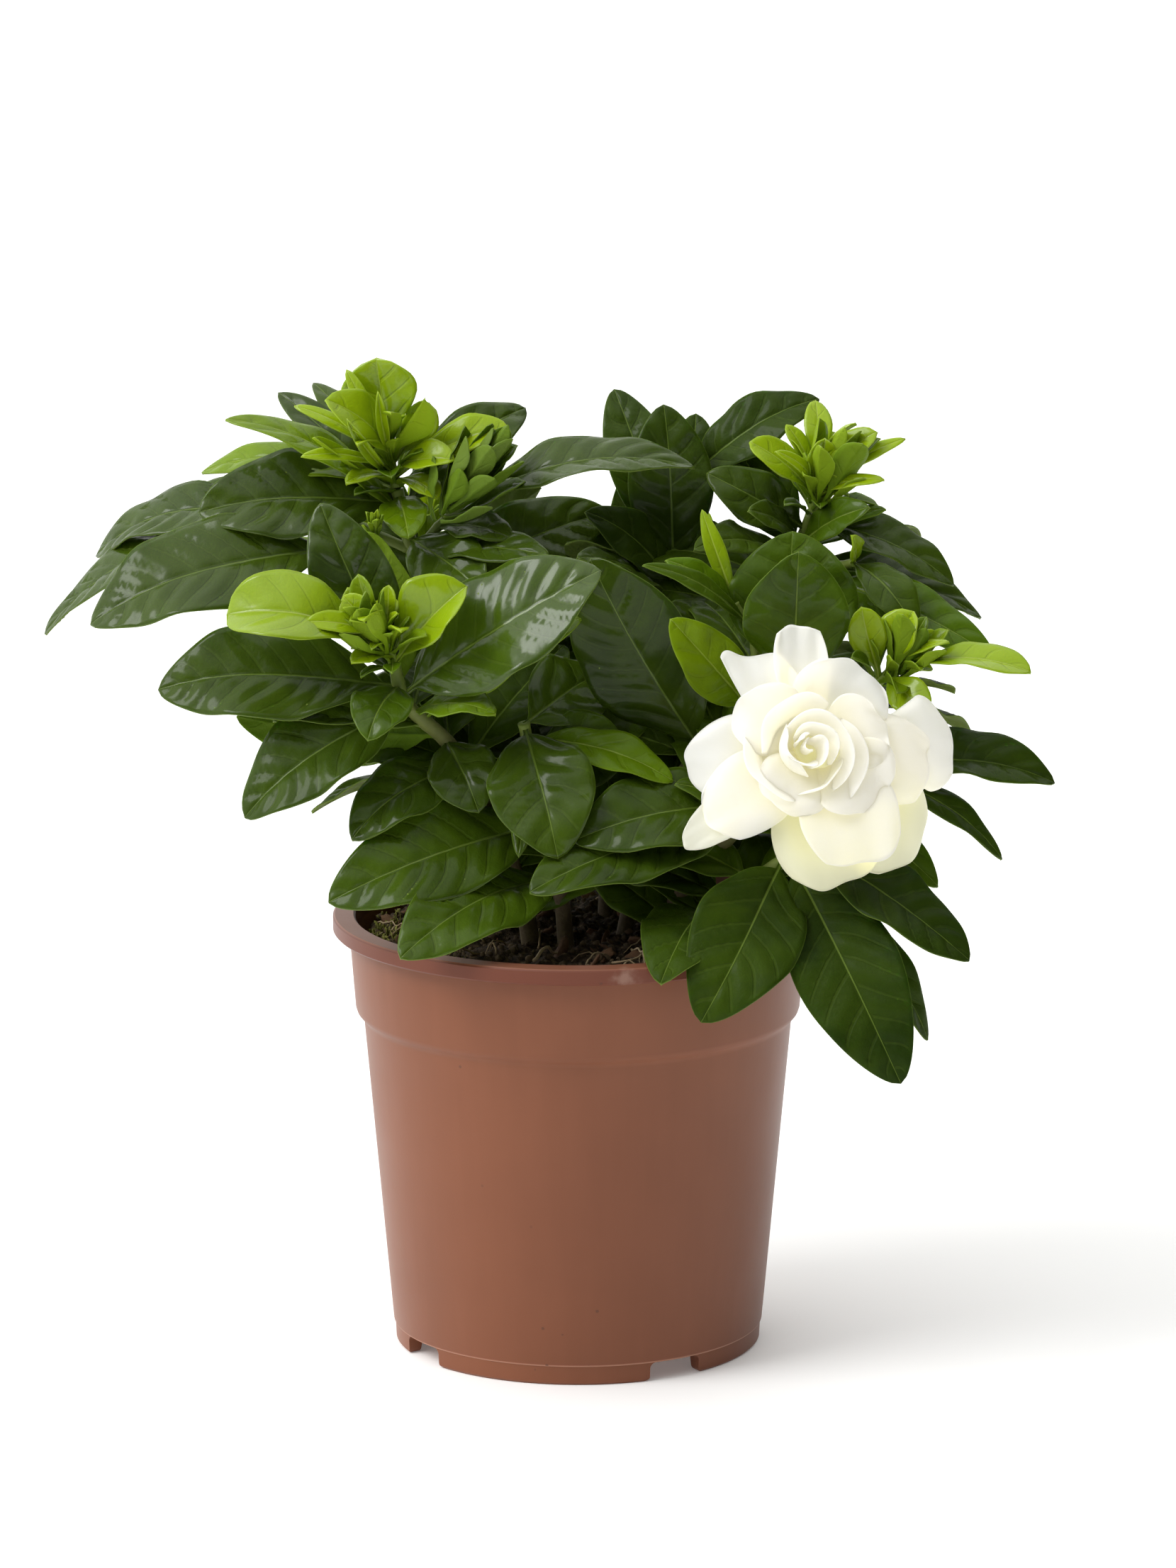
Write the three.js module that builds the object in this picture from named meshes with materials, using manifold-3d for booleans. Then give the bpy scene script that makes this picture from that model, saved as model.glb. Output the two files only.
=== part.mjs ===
// Potted gardenia in a 12 cm nursery pot: millimetres, Z up, resting on the floor at z = 0.
import * as THREE from "three";
import manifoldFactory from "manifold-3d";

const kernel = await manifoldFactory();
kernel.setup();
const { Manifold, Mesh } = kernel;

// The pot: heights and outer radii of its wall, its feet and its drain holes. The skirt under it
// is cut by four notches, and footTurn is the direction of the first foot in degrees.
const potSides = 40;
const rimRadius = 60;
const rimTop = 107.5;
const rimBand = 4;
const collarTopRadius = 56;
const collarLowRadius = 54.5;
const collarLow = 84;
const bodyTopRadius = 52.5;
const bodyLowRadius = 45.5;
const skirtHeight = 5;
const skirtRadius = 44.8;
const wall = 1.5;
const floorHeight = 5;
const floorThick = 2;
const footCount = 4;
const footTurn = -103;
const notchWidth = 14;
const drainRadius = 4;
const drainRing = 27;

// The soil: the height of its edge, and the gap kept round what stands in it.
const soilTop = 99.5;
const seatGap = 0.3;

// Leaves, stems and petals: thickness, half the width of a leaf stalk, and how finely they are cut.
const leafThick = 0.75;
const petiole = 0.9;
const leafSteps = 5;
const youngSteps = 3;
const petalSteps = 3;
const stemSides = 5;
const joinTolerance = 0.1;

// Each shoot lists its stems as points, with the radius at both ends. A later stem of a shoot is
// a twig that starts inside the first. A leaf is: stem, place along it counted in points, tip
// x y z, width, where its upper face looks x y z, arch in hundredths of length, fold in degrees.
const shoots = {
  shoot_front_left: {
    radii: [2.4, 1.5],
    stems: [
      [[-10, -13, 86], [-13, -14, 112], [-22, -17, 138], [-31, -21, 154], [-41, -26, 165], [-44, -28, 175]],
    ],
    leaves: [
      [0, 4.2, 4, -38, 201, 30, -1, -3, 2, 5, 10],
      [0, 4.4, -101, -26, 170, 27, 0, -1, 1, 5, 14],
      [0, 4.0, -80, -40, 141, 20, -1, -1, 2, 8, 14],
      [0, 4.5, -62, -20, 213, 20, 0, -3, 1, -4, 12],
      [0, 4.3, -49, -6, 203, 15, 2, 1, 1, 6, 14],
      [0, 4.4, -50, -47, 162, 15, 0, -1, 2, 10, 8],
      [0, 3.8, -20, -42, 167, 14, 0, -1, 2, 8, 10],
      [0, 3.6, 0, -26, 187, 19, -1, -2, 3, 6, 10],
      [0, 3.9, -90, -8, 176, 18, 0, -1, 3, 8, 12],
      [0, 3.2, -82, -12, 158, 17, 0, -1, 3, 8, 12],
      [0, 3.4, -73, -30, 163, 12, 0, -1, 2, 6, 10],
      [0, 2.6, -54, -40, 136, 18, -1, -2, 1, 10, 10],
      [0, 2.0, -50, -20, 142, 18, -1, -2, 1, 8, 10],
      [0, 3.1, -24, -38, 142, 17, 0, -2, 1, 8, 8],
    ],
  },
  shoot_upper_left: {
    radii: [2.4, 1.5],
    stems: [
      [[-17, 8, 86], [-19, 9, 112], [-27, 11, 148], [-37, 11, 182], [-44, 9, 211]],
      [[-36, 11, 180], [-50, 5, 191], [-58, 1, 198]],
      [[-41, 10, 196], [-60, 15, 203], [-73, 14, 204]],
      [[-40, 10, 194], [-34, 8, 202], [-28, 8, 207]],
    ],
    leaves: [
      [0, 3.8, -92, 2, 207, 22, 0, -1, 2, 6, 14],
      [1, 2, -118, -12, 184, 27, 0, -2, 3, 7, 12],
      [2, 2, -131, 14, 175, 22, 0, -1, 3, 14, 12],
      [2, 1.7, -117, 26, 199, 19, 0, -1, 2, 12, 12],
      [2, 0.9, -100, 30, 212, 12, 0, -1, 2, 10, 10],
      [3, 2, 28, 4, 219, 17, 0, -1, 2, 12, 16],
      [0, 3.75, -13, 26, 229, 16, 0, -1, 1, 12, 12],
      [3, 1, -16, -4, 202, 12, 0, -1, 2, 6, 12],
      [0, 3.4, -7, -12, 199, 13, 0, -1, 2, 5, 12],
      [0, 3.9, -41, -9, 203, 12, 0, -2, 1, 6, 10],
      [0, 3.5, -23, -14, 190, 18, 0, -2, 1, 6, 8],
      [0, 3.7, -73, 24, 233, 11, 0, -1, 1, 8, 16],
      [0, 3.8, -65, 34, 234, 9, 0, -1, 1, 8, 12],
      [0, 3.65, -84, 2, 231, 12, 0, -1, 2, 10, 12],
      [0, 3.6, -92, -10, 220, 12, 0, -1, 2, 12, 12],
      [0, 3.1, 8, 22, 203, 20, 0, -2, 1, 8, 10],
      [1, 1, -76, 16, 178, 20, 0, 0, 1, 8, 12],
      [0, 2.9, -60, 34, 186, 20, -1, 1, 2, 8, 12],
      [0, 1.3, -48, 2, 133, 20, -1, -1, 2, 10, 12],
      [0, 2.2, -68, 12, 156, 22, -1, 0, 3, 12, 12],
    ],
  },
  shoot_centre: {
    radii: [2.2, 1.3],
    stems: [
      [[7, 16, 86], [8, 17, 120], [16, 18, 160], [23, 18, 186], [27, 24, 212]],
    ],
    leaves: [
      [0, 3.1, 21, 18, 230, 21, 0, -3, 1, 4, 10],
      [0, 3.9, 58, 22, 232, 16, 0, -1, 1, 8, 12],
      [0, 3.0, 3, 8, 206, 14, 0, -1, 1, 8, 12],
      [0, 2.8, 1, -4, 198, 14, 0, -1, 2, 8, 10],
      [0, 2.3, -2, 4, 200, 16, 0, 1, 2, 10, 10],
      [0, 2.9, -18, 32, 200, 20, 0, -2, 1, 8, 10],
      [0, 3.9, 29, 30, 226, 10, 0, -1, 1, 4, 12],
      [0, 3.2, 9, 32, 232, 17, 0, -2, 1, 6, 10],
      [0, 3.6, 52, 44, 214, 18, 1, 1, 2, 8, 12],
      [0, 2.4, -22, 34, 182, 20, -1, 1, 2, 10, 12],
      [0, 1.3, -14, -2, 134, 20, 0, -1, 2, 10, 12],
      [0, 1.6, 44, 33, 142, 18, 0, -1, 2, 10, 12],
    ],
  },
  shoot_middle: {
    radii: [2.2, 1.3],
    stems: [
      [[9, -3, 86], [14, -6, 115], [26, -10, 145], [40, -14, 160], [54, -16, 169]],
      [[41, -14, 161], [43, -11, 176], [38, -11, 187]],
    ],
    leaves: [
      [0, 2.3, 3, -18, 199, 30, -1, -2, 1, 6, 10],
      [0, 3.9, 52, -8, 204, 32, 0, -2, 1, -4, 8],
      [0, 3.8, 53, -23, 201, 26, 0, -2, 1, 4, 8],
      [0, 3.1, 23, -28, 186, 15, 0, -2, 1, 6, 12],
      [1, 1.9, 22, -17, 199, 7, 0, -1, 1, 6, 14],
      [1, 1.4, 17, -27, 200, 6, 0, -1, 1, 8, 12],
      [1, 2, 30, -7, 209, 5, 0, -1, 0, 4, 14],
      [0, 1.4, -4, -14, 126, 18, 0, -1, 2, 10, 12],
    ],
  },
  shoot_upper_right: {
    radii: [2.2, 1.3],
    stems: [
      [[19, 11, 86], [24, 12, 120], [38, 15, 160], [50, 16, 186], [57, 14, 204]],
      [[50, 16, 187], [60, 9, 191], [67, 3, 194]],
    ],
    leaves: [
      [0, 3.7, 32, 10, 215, 14, 0, -2, 1, 8, 12],
      [0, 3.5, 42, -1, 208, 10, 0, -1, 1, 6, 12],
      [0, 3.3, 29, -3, 200, 13, 0, -1, 2, 8, 12],
      [0, 3.4, 70, -2, 209, 11, 0, -1, 1, 6, 16],
      [0, 3.7, 75, 10, 206, 6, 0, -1, 1, 6, 12],
      [0, 3.8, 92, 8, 188, 15, 0, -1, 2, 10, 14],
      [0, 3.4, 38, 26, 221, 16, 0, -2, 1, 6, 10],
      [1, 0.5, 101, -8, 174, 19, 0, -2, 3, 8, 12],
      [0, 3.2, 99, 14, 179, 15, 0, -1, 2, 10, 12],
      [1, 1.9, 82, -11, 180, 12, 0, -1, 2, 14, 14],
      [1, 2, 67, -5, 202, 6, 1, -1, 0, 4, 14],
      [0, 3.3, 84, 38, 196, 22, 1, 1, 3, 10, 12],
      [0, 2.9, 44, 52, 186, 20, 0, 1, 2, 10, 12],
      [0, 2.4, 72, 32, 158, 22, 1, 1, 3, 10, 12],
      [0, 1.2, 60, 34, 122, 20, 1, 0, 2, 10, 12],
    ],
  },
  shoot_right: {
    radii: [2.2, 1.3],
    stems: [
      [[23, 0, 86], [26, -1, 112], [42, -3, 140], [60, -8, 157], [72, -12, 167]],
      [[42, -3, 140], [58, -4, 143], [70, -5, 144]],
    ],
    leaves: [
      [1, 2, 116, -8, 144, 20, 0, -2, 3, 6, 12],
      [1, 1.8, 104, -14, 126, 9, 0, -1, 2, 10, 12],
      [0, 1.8, 88, -16, 120, 18, 0, -1, 2, 14, 12],
      [0, 3.0, 96, 12, 150, 22, 1, 1, 3, 12, 12],
      [0, 2.4, 80, 30, 132, 22, 1, 1, 3, 12, 12],
      [0, 3.4, 92, 2, 163, 14, 0, 0, 1, 10, 12],
      [0, 1.3, 62, 10, 116, 20, 0, -1, 3, 12, 12],
      [0, 2.1, 84, 4, 136, 20, 0, 0, 1, 12, 12],
    ],
  },
  shoot_bloom: {
    radii: [2.2, 1.8],
    stems: [
      [[17, -14, 86], [20, -16, 108], [34, -21, 128], [46, -26, 143], [52, -32, 151]],
    ],
    leaves: [
      [0, 2.3, -11, -54, 126, 22, 0, -2, 2, 8, 12],
      [0, 2.7, 0, -46, 138, 23, 0, -2, 2, 8, 12],
      [0, 2.6, 24, -36, 148, 9, 0, -2, 2, 8, 12],
    ],
  },
  shoot_low_right: {
    radii: [2.2, 1.4],
    stems: [
      [[27, -20, 86], [29, -22, 105], [40, -28, 120], [54, -34, 131]],
    ],
    leaves: [
      [0, 2.6, 30, -64, 97, 27, 0, -3, 1, 12, 8],
      [0, 2.7, 77, -66, 82, 26, 0, -2, 1, 10, 10],
      [0, 3, 94, -50, 108, 19, 1, -2, 2, 8, 12],
      [0, 2.3, 86, -40, 87, 14, 1, -2, 2, 14, 12],
      [0, 1.4, 20, -62, 107, 22, 0, -1, 3, 14, 10],
      [0, 2.9, 84, -24, 117, 8, 0, -1, 1, 12, 14],
    ],
  },
  shoot_low_front: {
    radii: [2.2, 1.4],
    stems: [
      [[-2, -15, 86], [-4, -17, 116], [-9, -20, 140], [-13, -24, 160]],
    ],
    leaves: [
      [0, 2.9, -5, -50, 134, 26, 0, -3, 1, 8, 10],
      [0, 2.7, 23, -34, 149, 10, 0, -1, 2, 8, 12],
      [0, 2.1, -14, -44, 133, 7, 0, -1, 1, 8, 12],
      [0, 1.7, -60, -44, 122, 19, -1, -2, 2, 10, 12],
      [0, 2.95, 6, -3, 168, 20, 0, -2, 1, 6, 10],
      [0, 2.5, 12, -22, 153, 20, 0, -2, 1, 6, 10],
      [0, 1.1, -42, -60, 111, 24, -1, -3, 2, 12, 10],
    ],
  },
  shoot_back_left: {
    radii: [2.2, 1.3],
    stems: [
      [[-11, 22, 86], [-14, 26, 115], [-26, 37, 150], [-36, 46, 180]],
    ],
    leaves: [
      [0, 2.6, -74, 66, 188, 22, -1, 1, 2, 8, 12],
      [0, 2.8, -10, 62, 202, 22, 0, 1, 1, 8, 12],
      [0, 2.5, -84, 38, 168, 24, -1, 1, 3, 12, 12],
      [0, 2.4, -44, 86, 160, 24, 0, 2, 2, 12, 12],
      [0, 1.9, -74, 52, 134, 24, -1, 1, 2, 12, 12],
      [0, 1.7, -20, 76, 134, 22, 0, 2, 2, 12, 12],
      [0, 1.4, -66, 28, 128, 22, -1, 0, 2, 12, 12],
      [0, 2.2, 4, 70, 172, 22, 1, 2, 2, 10, 12],
      [0, 2.7, -50, 30, 218, 18, -1, -1, 0, 6, 12],
    ],
  },
  shoot_back_right: {
    radii: [2.2, 1.3],
    stems: [
      [[12, 27, 86], [14, 31, 115], [20, 42, 145], [24, 52, 172]],
    ],
    leaves: [
      [0, 2.6, 58, 74, 180, 22, 1, 1, 2, 8, 12],
      [0, 2.8, -6, 82, 188, 22, 0, 1, 2, 8, 12],
      [0, 2.5, 64, 62, 150, 24, 1, 1, 3, 12, 12],
      [0, 2.3, 18, 92, 142, 24, 0, 2, 2, 12, 12],
      [0, 1.8, 62, 48, 122, 24, 1, 1, 2, 12, 12],
      [0, 1.6, 16, 74, 112, 22, 0, 2, 2, 12, 12],
      [0, 1.9, -12, 74, 142, 22, -1, 2, 2, 10, 12],
      [0, 2.6, 14, 38, 214, 17, 0, 1, 0, 6, 12],
    ],
  },
};

// Fresh pale tufts: the shoot whose end carries it, the top of its stub, then leaflets as the place
// along the stub, tip x y z, width, where the upper face looks x y z, arch and fold.
const tufts = {
  tuft_front_left: {
    shoot: "shoot_front_left",
    top: [-46, -33, 184],
    leaves: [
      [0.4, -84, -32, 193, 17, 0, -1, 2, 12, 14],
      [0.4, -29, -33, 198, 13, -1, -2, 1, 12, 22],
      [0.9, -56, -34, 199, 8, 0, -1, 0, 8, 20],
      [0.8, -64, -40, 193, 6, 1, -1, 1, 10, 20],
      [0.9, -51, -43, 196, 6, 0, 1, 1, 12, 20],
      [0.8, -48, -25, 196, 7, 0, -1, 0, 8, 20],
      [0.5, -42, -43, 187, 5, 0, 1, 1, 12, 14],
      [0.3, -54, -38, 178, 6, 0, -1, 2, 8, 10],
    ],
  },
  tuft_upper_left: {
    shoot: "shoot_upper_left",
    top: [-46, 6, 222],
    leaves: [
      [0.8, -49, 9, 244, 19, 0, -3, 1, -6, 12],
      [0.6, -60, -6, 236, 13, 0, -1, 1, 14, 16],
      [0.6, -36, 11, 232, 9, 0, -1, 0, 10, 24],
      [0.3, -17, 1, 228, 11, 0, -1, 1, 8, 20],
      [0.9, -56, 6, 241, 4, 0, -1, 0, 10, 10],
      [0.5, -68, 4, 233, 4, 0, -1, 1, 12, 10],
      [0.4, -66, -8, 223, 4, 0, -1, 1, 10, 10],
      [0.5, -53, -12, 227, 4, 0, 1, 1, 10, 10],
      [0.7, -45, -9, 234, 5, 0, 1, 1, 10, 10],
      [0.2, -56, -4, 215, 6, 0, -1, 2, 12, 10],
      [0.2, -34, -4, 212, 8, 0, -1, 2, 12, 14],
      [0.4, -30, -4, 221, 9, 0, -1, 1, 12, 26],
    ],
  },
  tuft_upper_right: {
    shoot: "shoot_upper_right",
    top: [59, 12, 212],
    leaves: [
      [0.7, 60, 6, 224, 8, 0, -1, 0, 8, 20],
      [0.6, 72, 6, 226, 9, -1, -1, 1, 8, 18],
      [0.9, 67, 13, 227, 5, -1, 0, 1, 14, 16],
      [0.6, 79, 9, 224, 4, 0, -1, 1, 12, 10],
      [0.4, 74, 2, 215, 4, 0, -1, 1, 16, 10],
      [0.4, 49, 1, 222, 4, 0, -1, 1, 14, 10],
      [0.8, 51, 15, 226, 5, 1, -1, 0, 6, 10],
      [0.9, 58, 22, 231, 7, 0, -1, 0, 6, 10],
      [0.5, 42, 8, 223, 9, 0, -1, 1, 10, 18],
      [0.5, 62, 26, 222, 8, 0, 1, 1, 10, 16],
    ],
  },
  tuft_right: {
    shoot: "shoot_right",
    top: [77, -14, 172],
    leaves: [
      [0.8, 67, -9, 187, 8, 1, -1, 0, 8, 18],
      [0.9, 81, -17, 186, 11, -1, -2, 1, 10, 24],
      [0.6, 109, -24, 173, 11, 0, -1, 3, 10, 16],
      [0.7, 89, -22, 180, 4, 0, -1, 2, 8, 10],
      [0.4, 84, -27, 163, 10, 0, -2, 1, 14, 10],
      [0.5, 86, -2, 178, 8, 0, 1, 2, 12, 16],
    ],
  },
  tuft_back_left: {
    shoot: "shoot_back_left",
    top: [-38, 49, 188],
    leaves: [
      [0.7, -34, 58, 204, 9, 0, 1, 1, 10, 20],
      [0.7, -50, 54, 203, 9, -1, 1, 1, 10, 20],
      [0.5, -58, 46, 198, 10, -1, 1, 2, 12, 16],
      [0.5, -30, 68, 190, 10, 0, 1, 1, 12, 16],
      [0.9, -41, 48, 206, 5, 0, -1, 0, 6, 12],
    ],
  },
  tuft_back_right: {
    shoot: "shoot_back_right",
    top: [25, 55, 180],
    leaves: [
      [0.7, 30, 64, 197, 9, 1, 1, 1, 10, 20],
      [0.7, 12, 62, 195, 9, -1, 1, 1, 10, 20],
      [0.5, 44, 58, 190, 10, 1, 1, 2, 12, 16],
      [0.5, 20, 76, 182, 10, 0, 1, 1, 12, 16],
      [0.9, 26, 53, 198, 5, 0, -1, 0, 6, 12],
    ],
  },
};

// The bloom looks along bloomFace from its throat. A petal is: angle round the face in degrees,
// reach, width, how far its tip comes forward, how deep it cups, root radius and root depth.
const bloomStart = [52, -32, 151];
const throat = [55, -45, 157];
const petals = [
  [4, 34, 27, 0, 10, 3, 0],
  [-50, 36, 25, -2, 10, 3, -1],
  [-86, 35, 27, -3, 10, 3, -2],
  [-143, 39, 12, 0, 8, 3, -1],
  [-151, 31, 20, 3, 8, 3, 1],
  [178, 32, 21, 1, 8, 3, 0],
  [132, 33, 21, -1, 8, 3, -1],
  [96, 31, 16, 0, 16, 3, 0],
  [-4, 27, 21, 4, 12, 4, 3],
  [-64, 29, 23, 3, 12, 4, 2],
  [65, 25, 24, 5, 14, 4, 3],
  [152, 21, 18, 6, 14, 4, 3],
  [-35, 20, 20, 9, 16, 4, 5],
  [-135, 18, 16, 9, 14, 4, 5],
  [105, 17, 16, 10, 16, 4, 5],
  [10, 9, 13, 15, 20, 4, 8],
  [-62, 10, 13, 14, 20, 4, 8],
  [-134, 9, 12, 14, 20, 4, 8],
  [154, 9, 12, 15, 20, 4, 8],
  [82, 9, 13, 15, 20, 4, 8],
  [40, 3, 8, 17, 24, 3, 10],
  [-90, 3, 8, 17, 24, 3, 10],
];
const sepalCount = 5;
const sepalReach = 15;

// Each petal is tilted so that one edge lies over the petal beside it.
const petalTilt = 0.3;

const vector = (p) => new THREE.Vector3(...p);
const arrow = (from, to) => to.clone().sub(from).normalize();
const along = (start, ...steps) => {
  const point = start.clone();
  for (const [direction, length] of steps) {
    point.addScaledVector(direction, length);
  }
  return point;
};

// A closed body from points and triangles.
function solid(points, triangles) {
  const mesh = new Mesh({
    numProp: 3,
    vertProperties: new Float32Array(points.flatMap((p) => [p.x, p.y, p.z])),
    triVerts: new Uint32Array(triangles.flat()),
  });
  return new Manifold(mesh);
}

// A ring of points joined to the next, with flat or pointed ends.
function skin(rings, closedEnds = true) {
  const count = rings[0].length;
  const points = rings.flat();
  const triangles = [];
  for (let i = 0; i + 1 < rings.length; i++) {
    for (let j = 0; j < count; j++) {
      const a = i * count + j;
      const b = i * count + ((j + 1) % count);
      triangles.push([a, b, b + count], [a, b + count, a + count]);
    }
  }
  if (closedEnds) {
    const last = (rings.length - 1) * count;
    for (let j = 1; j + 1 < count; j++) {
      triangles.push([0, j + 1, j], [last, last + j, last + j + 1]);
    }
  }
  return solid(points, triangles);
}

// Points turned round an upright axis; the outline runs up the outside and down the inside.
function turned(outline, sides, lift = () => 0) {
  const points = [];
  const triangles = [];
  const starts = outline.map(([radius, height]) => {
    const first = points.length;
    const many = radius > 0 ? sides : 1;
    for (let j = 0; j < many; j++) {
      const angle = (j * 2 * Math.PI) / sides;
      const z = height + lift(radius, height, angle);
      points.push(new THREE.Vector3(radius * Math.cos(angle), radius * Math.sin(angle), z));
    }
    return [first, many];
  });
  for (let i = 0; i < outline.length; i++) {
    const [a, manyA] = starts[i];
    const [b, manyB] = starts[(i + 1) % outline.length];
    for (let j = 0; j < sides; j++) {
      const k = (j + 1) % sides;
      if (manyA === 1 && manyB === 1) {
        continue;
      }
      if (manyA > 1 && manyB > 1) {
        triangles.push([a + j, a + k, b + k], [a + j, b + k, b + j]);
      } else if (manyA > 1) {
        triangles.push([a + j, a + k, b]);
      } else {
        triangles.push([a, b + k, b + j]);
      }
    }
  }
  return solid(points, triangles);
}

// A smooth curve through the points of a stem, at a place counted in points.
function stemPoint(points, place) {
  const last = points.length - 1;
  const i = Math.min(Math.floor(place), last - 1);
  const t = place - i;
  const p = [i - 1, i, i + 1, i + 2].map((k) => vector(points[Math.max(0, Math.min(last, k))]));
  const weights = [
    -0.5 * t + t * t - 0.5 * t ** 3,
    1 - 2.5 * t * t + 1.5 * t ** 3,
    0.5 * t + 2 * t * t - 1.5 * t ** 3,
    -0.5 * t * t + 0.5 * t ** 3,
  ];
  const sum = new THREE.Vector3();
  p.forEach((point, k) => sum.addScaledVector(point, weights[k]));
  return sum;
}

// A tube along a row of points, its radius given by a formula of the way along it.
function tube(points, radiusAt, sides = stemSides) {
  const rings = points.map((point, i) => {
    const before = points[Math.max(0, i - 1)];
    const after = points[Math.min(points.length - 1, i + 1)];
    const ahead = arrow(before, after);
    const side = Math.abs(ahead.x) < 0.9 ? new THREE.Vector3(1, 0, 0) : new THREE.Vector3(0, 1, 0);
    const u = side.addScaledVector(ahead, -side.dot(ahead)).normalize();
    const w = ahead.clone().cross(u);
    const radius = radiusAt(i / (points.length - 1));
    return Array.from({ length: sides }, (_, j) => {
      const angle = (j * 2 * Math.PI) / sides;
      return along(point, [u, radius * Math.cos(angle)], [w, radius * Math.sin(angle)]);
    });
  });
  return skin(rings);
}

function stemTube(points, radii) {
  const steps = 2 * (points.length - 1);
  const places = Array.from({ length: steps + 1 }, (_, i) => stemPoint(points, i / 2));
  return tube(places, (t) => radii[0] + (radii[1] - radii[0]) * t);
}

// How wide a blade is along its length, from the leaf stalk to the drawn-out tip.
function leafOutline(u) {
  const stalk = 0.07;
  if (u <= stalk) {
    return 0;
  }
  const t = (u - stalk) / (1 - stalk);
  return Math.sin(Math.PI * t ** 0.95) ** (0.76 + 0.4 * t * t);
}

// How wide a petal is: narrow at its claw, broad and blunt at its end.
function petalOutline(u) {
  return Math.sin(Math.PI * (0.06 + 0.72 * u)) ** 0.8;
}

// A blade of even thickness from root to tip: the midrib arches, the halves fold up along it and
// the edges wave. It ends in a point or, when blunt, in a rounded end. Both faces are split alike.
function blade(root, tip, look, form) {
  const length = root.distanceTo(tip);
  const ahead = arrow(root, tip);
  const up = look.clone().addScaledVector(ahead, -look.dot(ahead)).normalize();
  const side = up.clone().cross(ahead);
  const halves = form.halves ?? 1;
  const across = 2 * halves + 1;
  const top = [];
  const low = [];
  for (let i = 0; i <= form.steps; i++) {
    const u = i / form.steps;
    const slope = 4 * form.arch * (1 - 2 * u);
    const normal = along(up, [ahead, -slope]).normalize();
    const middle = along(root, [ahead, length * u], [up, 4 * form.arch * length * u * (1 - u)]);
    const half = Math.max(form.stalk, 0.5 * form.width * form.outline(u));
    const thick = form.thick * (1 + 0.8 * Math.max(0, 1 - u / 0.16));
    const tipRow = i === form.steps && !form.blunt;
    for (let j = 0; j < across; j++) {
      if (tipRow && j > 0) {
        break;
      }
      const v = tipRow ? 0 : (j - halves) / halves;
      const reach = Math.abs(v) * half;
      const wave = form.wave * v * v * Math.sin(2 * Math.PI * form.waves * u + form.phase + (v > 0 ? 2 : 0));
      const rise = reach * form.fold * (1 - form.cup * Math.abs(v)) + half * wave;
      const back = -length * form.round * v * v * u * u;
      const point = along(middle, [side, v * half], [normal, rise], [ahead, back]);
      top.push(along(point, [normal, 0.5 * thick]));
      low.push(along(point, [normal, -0.5 * thick]));
    }
  }
  const under = top.length;
  const triangles = [];
  const both = (a, b, c) => triangles.push([a, b, c], [a + under, c + under, b + under]);
  const rim = (a, b) => triangles.push([b, a, a + under], [b, a + under, b + under]);
  const tipPoint = form.steps * across;
  for (let i = 0; i < form.steps; i++) {
    const here = i * across;
    const next = here + across;
    for (let j = 0; j + 1 < across; j++) {
      if (i + 1 === form.steps && !form.blunt) {
        both(here + j, tipPoint, here + j + 1);
      } else if (j < halves) {
        both(here + j, next + j, next + j + 1);
        both(here + j, next + j + 1, here + j + 1);
      } else {
        both(here + j, next + j, here + j + 1);
        both(here + j + 1, next + j, next + j + 1);
      }
    }
    const pointed = i + 1 === form.steps && !form.blunt;
    const nextLeft = pointed ? tipPoint : next;
    const nextRight = pointed ? tipPoint : next + across - 1;
    rim(here, nextLeft);
    rim(nextRight, here + across - 1);
  }
  for (let j = 0; j + 1 < across; j++) {
    rim(j + 1, j);
    if (form.blunt) {
      rim(tipPoint + j, tipPoint + j + 1);
    }
  }
  return solid([...top, ...low], triangles);
}

function leaf(root, row, index, young) {
  const [x, y, z, width, faceX, faceY, faceZ, arch, fold] = row;
  return blade(root, new THREE.Vector3(x, y, z), new THREE.Vector3(faceX, faceY, faceZ), {
    steps: (young ? youngSteps : leafSteps) - (width < 10 ? 1 : 0),
    width,
    stalk: petiole,
    thick: leafThick,
    outline: leafOutline,
    arch: arch / 100,
    fold: Math.tan((fold * Math.PI) / 180),
    cup: young ? 0 : 0.25,
    wave: young ? 0.06 : 0.09,
    waves: 2.4,
    phase: index * 2.4,
    round: 0,
    blunt: false,
  });
}

function shootParts({ radii, stems, leaves }) {
  const bodies = stems.map((points, i) => stemTube(points, i ? [1.3, 1.1] : radii));
  leaves.forEach(([stem, place, ...row], index) => {
    bodies.push(leaf(stemPoint(stems[stem], place), row, index, false));
  });
  return bodies;
}

function tuftParts({ shoot, top, leaves }) {
  const points = shoots[shoot].stems[0];
  const start = vector(points.at(-1));
  const end = vector(top);
  const ahead = arrow(vector(points.at(-2)), start);
  const foot = along(start, [ahead, seatGap + 0.1]);
  const bodies = [tube([foot, along(foot, [ahead, 1.5]), end], (t) => 1.4 - 0.3 * t)];
  leaves.forEach(([place, ...row], index) => {
    bodies.push(leaf(start.clone().lerp(end, place), row, index, true));
  });
  return bodies;
}

// Directions of the bloom: the way it looks, its right and its upright.
const bloomFace = arrow(vector(bloomStart), vector(throat));
const bloomRight = bloomFace.clone().cross(new THREE.Vector3(0, 0, 1)).normalize().negate();
const bloomUp = bloomRight.clone().cross(bloomFace).normalize();
if (bloomUp.z < 0) {
  bloomUp.negate();
}
if (bloomRight.x < 0) {
  bloomRight.negate();
}

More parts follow.
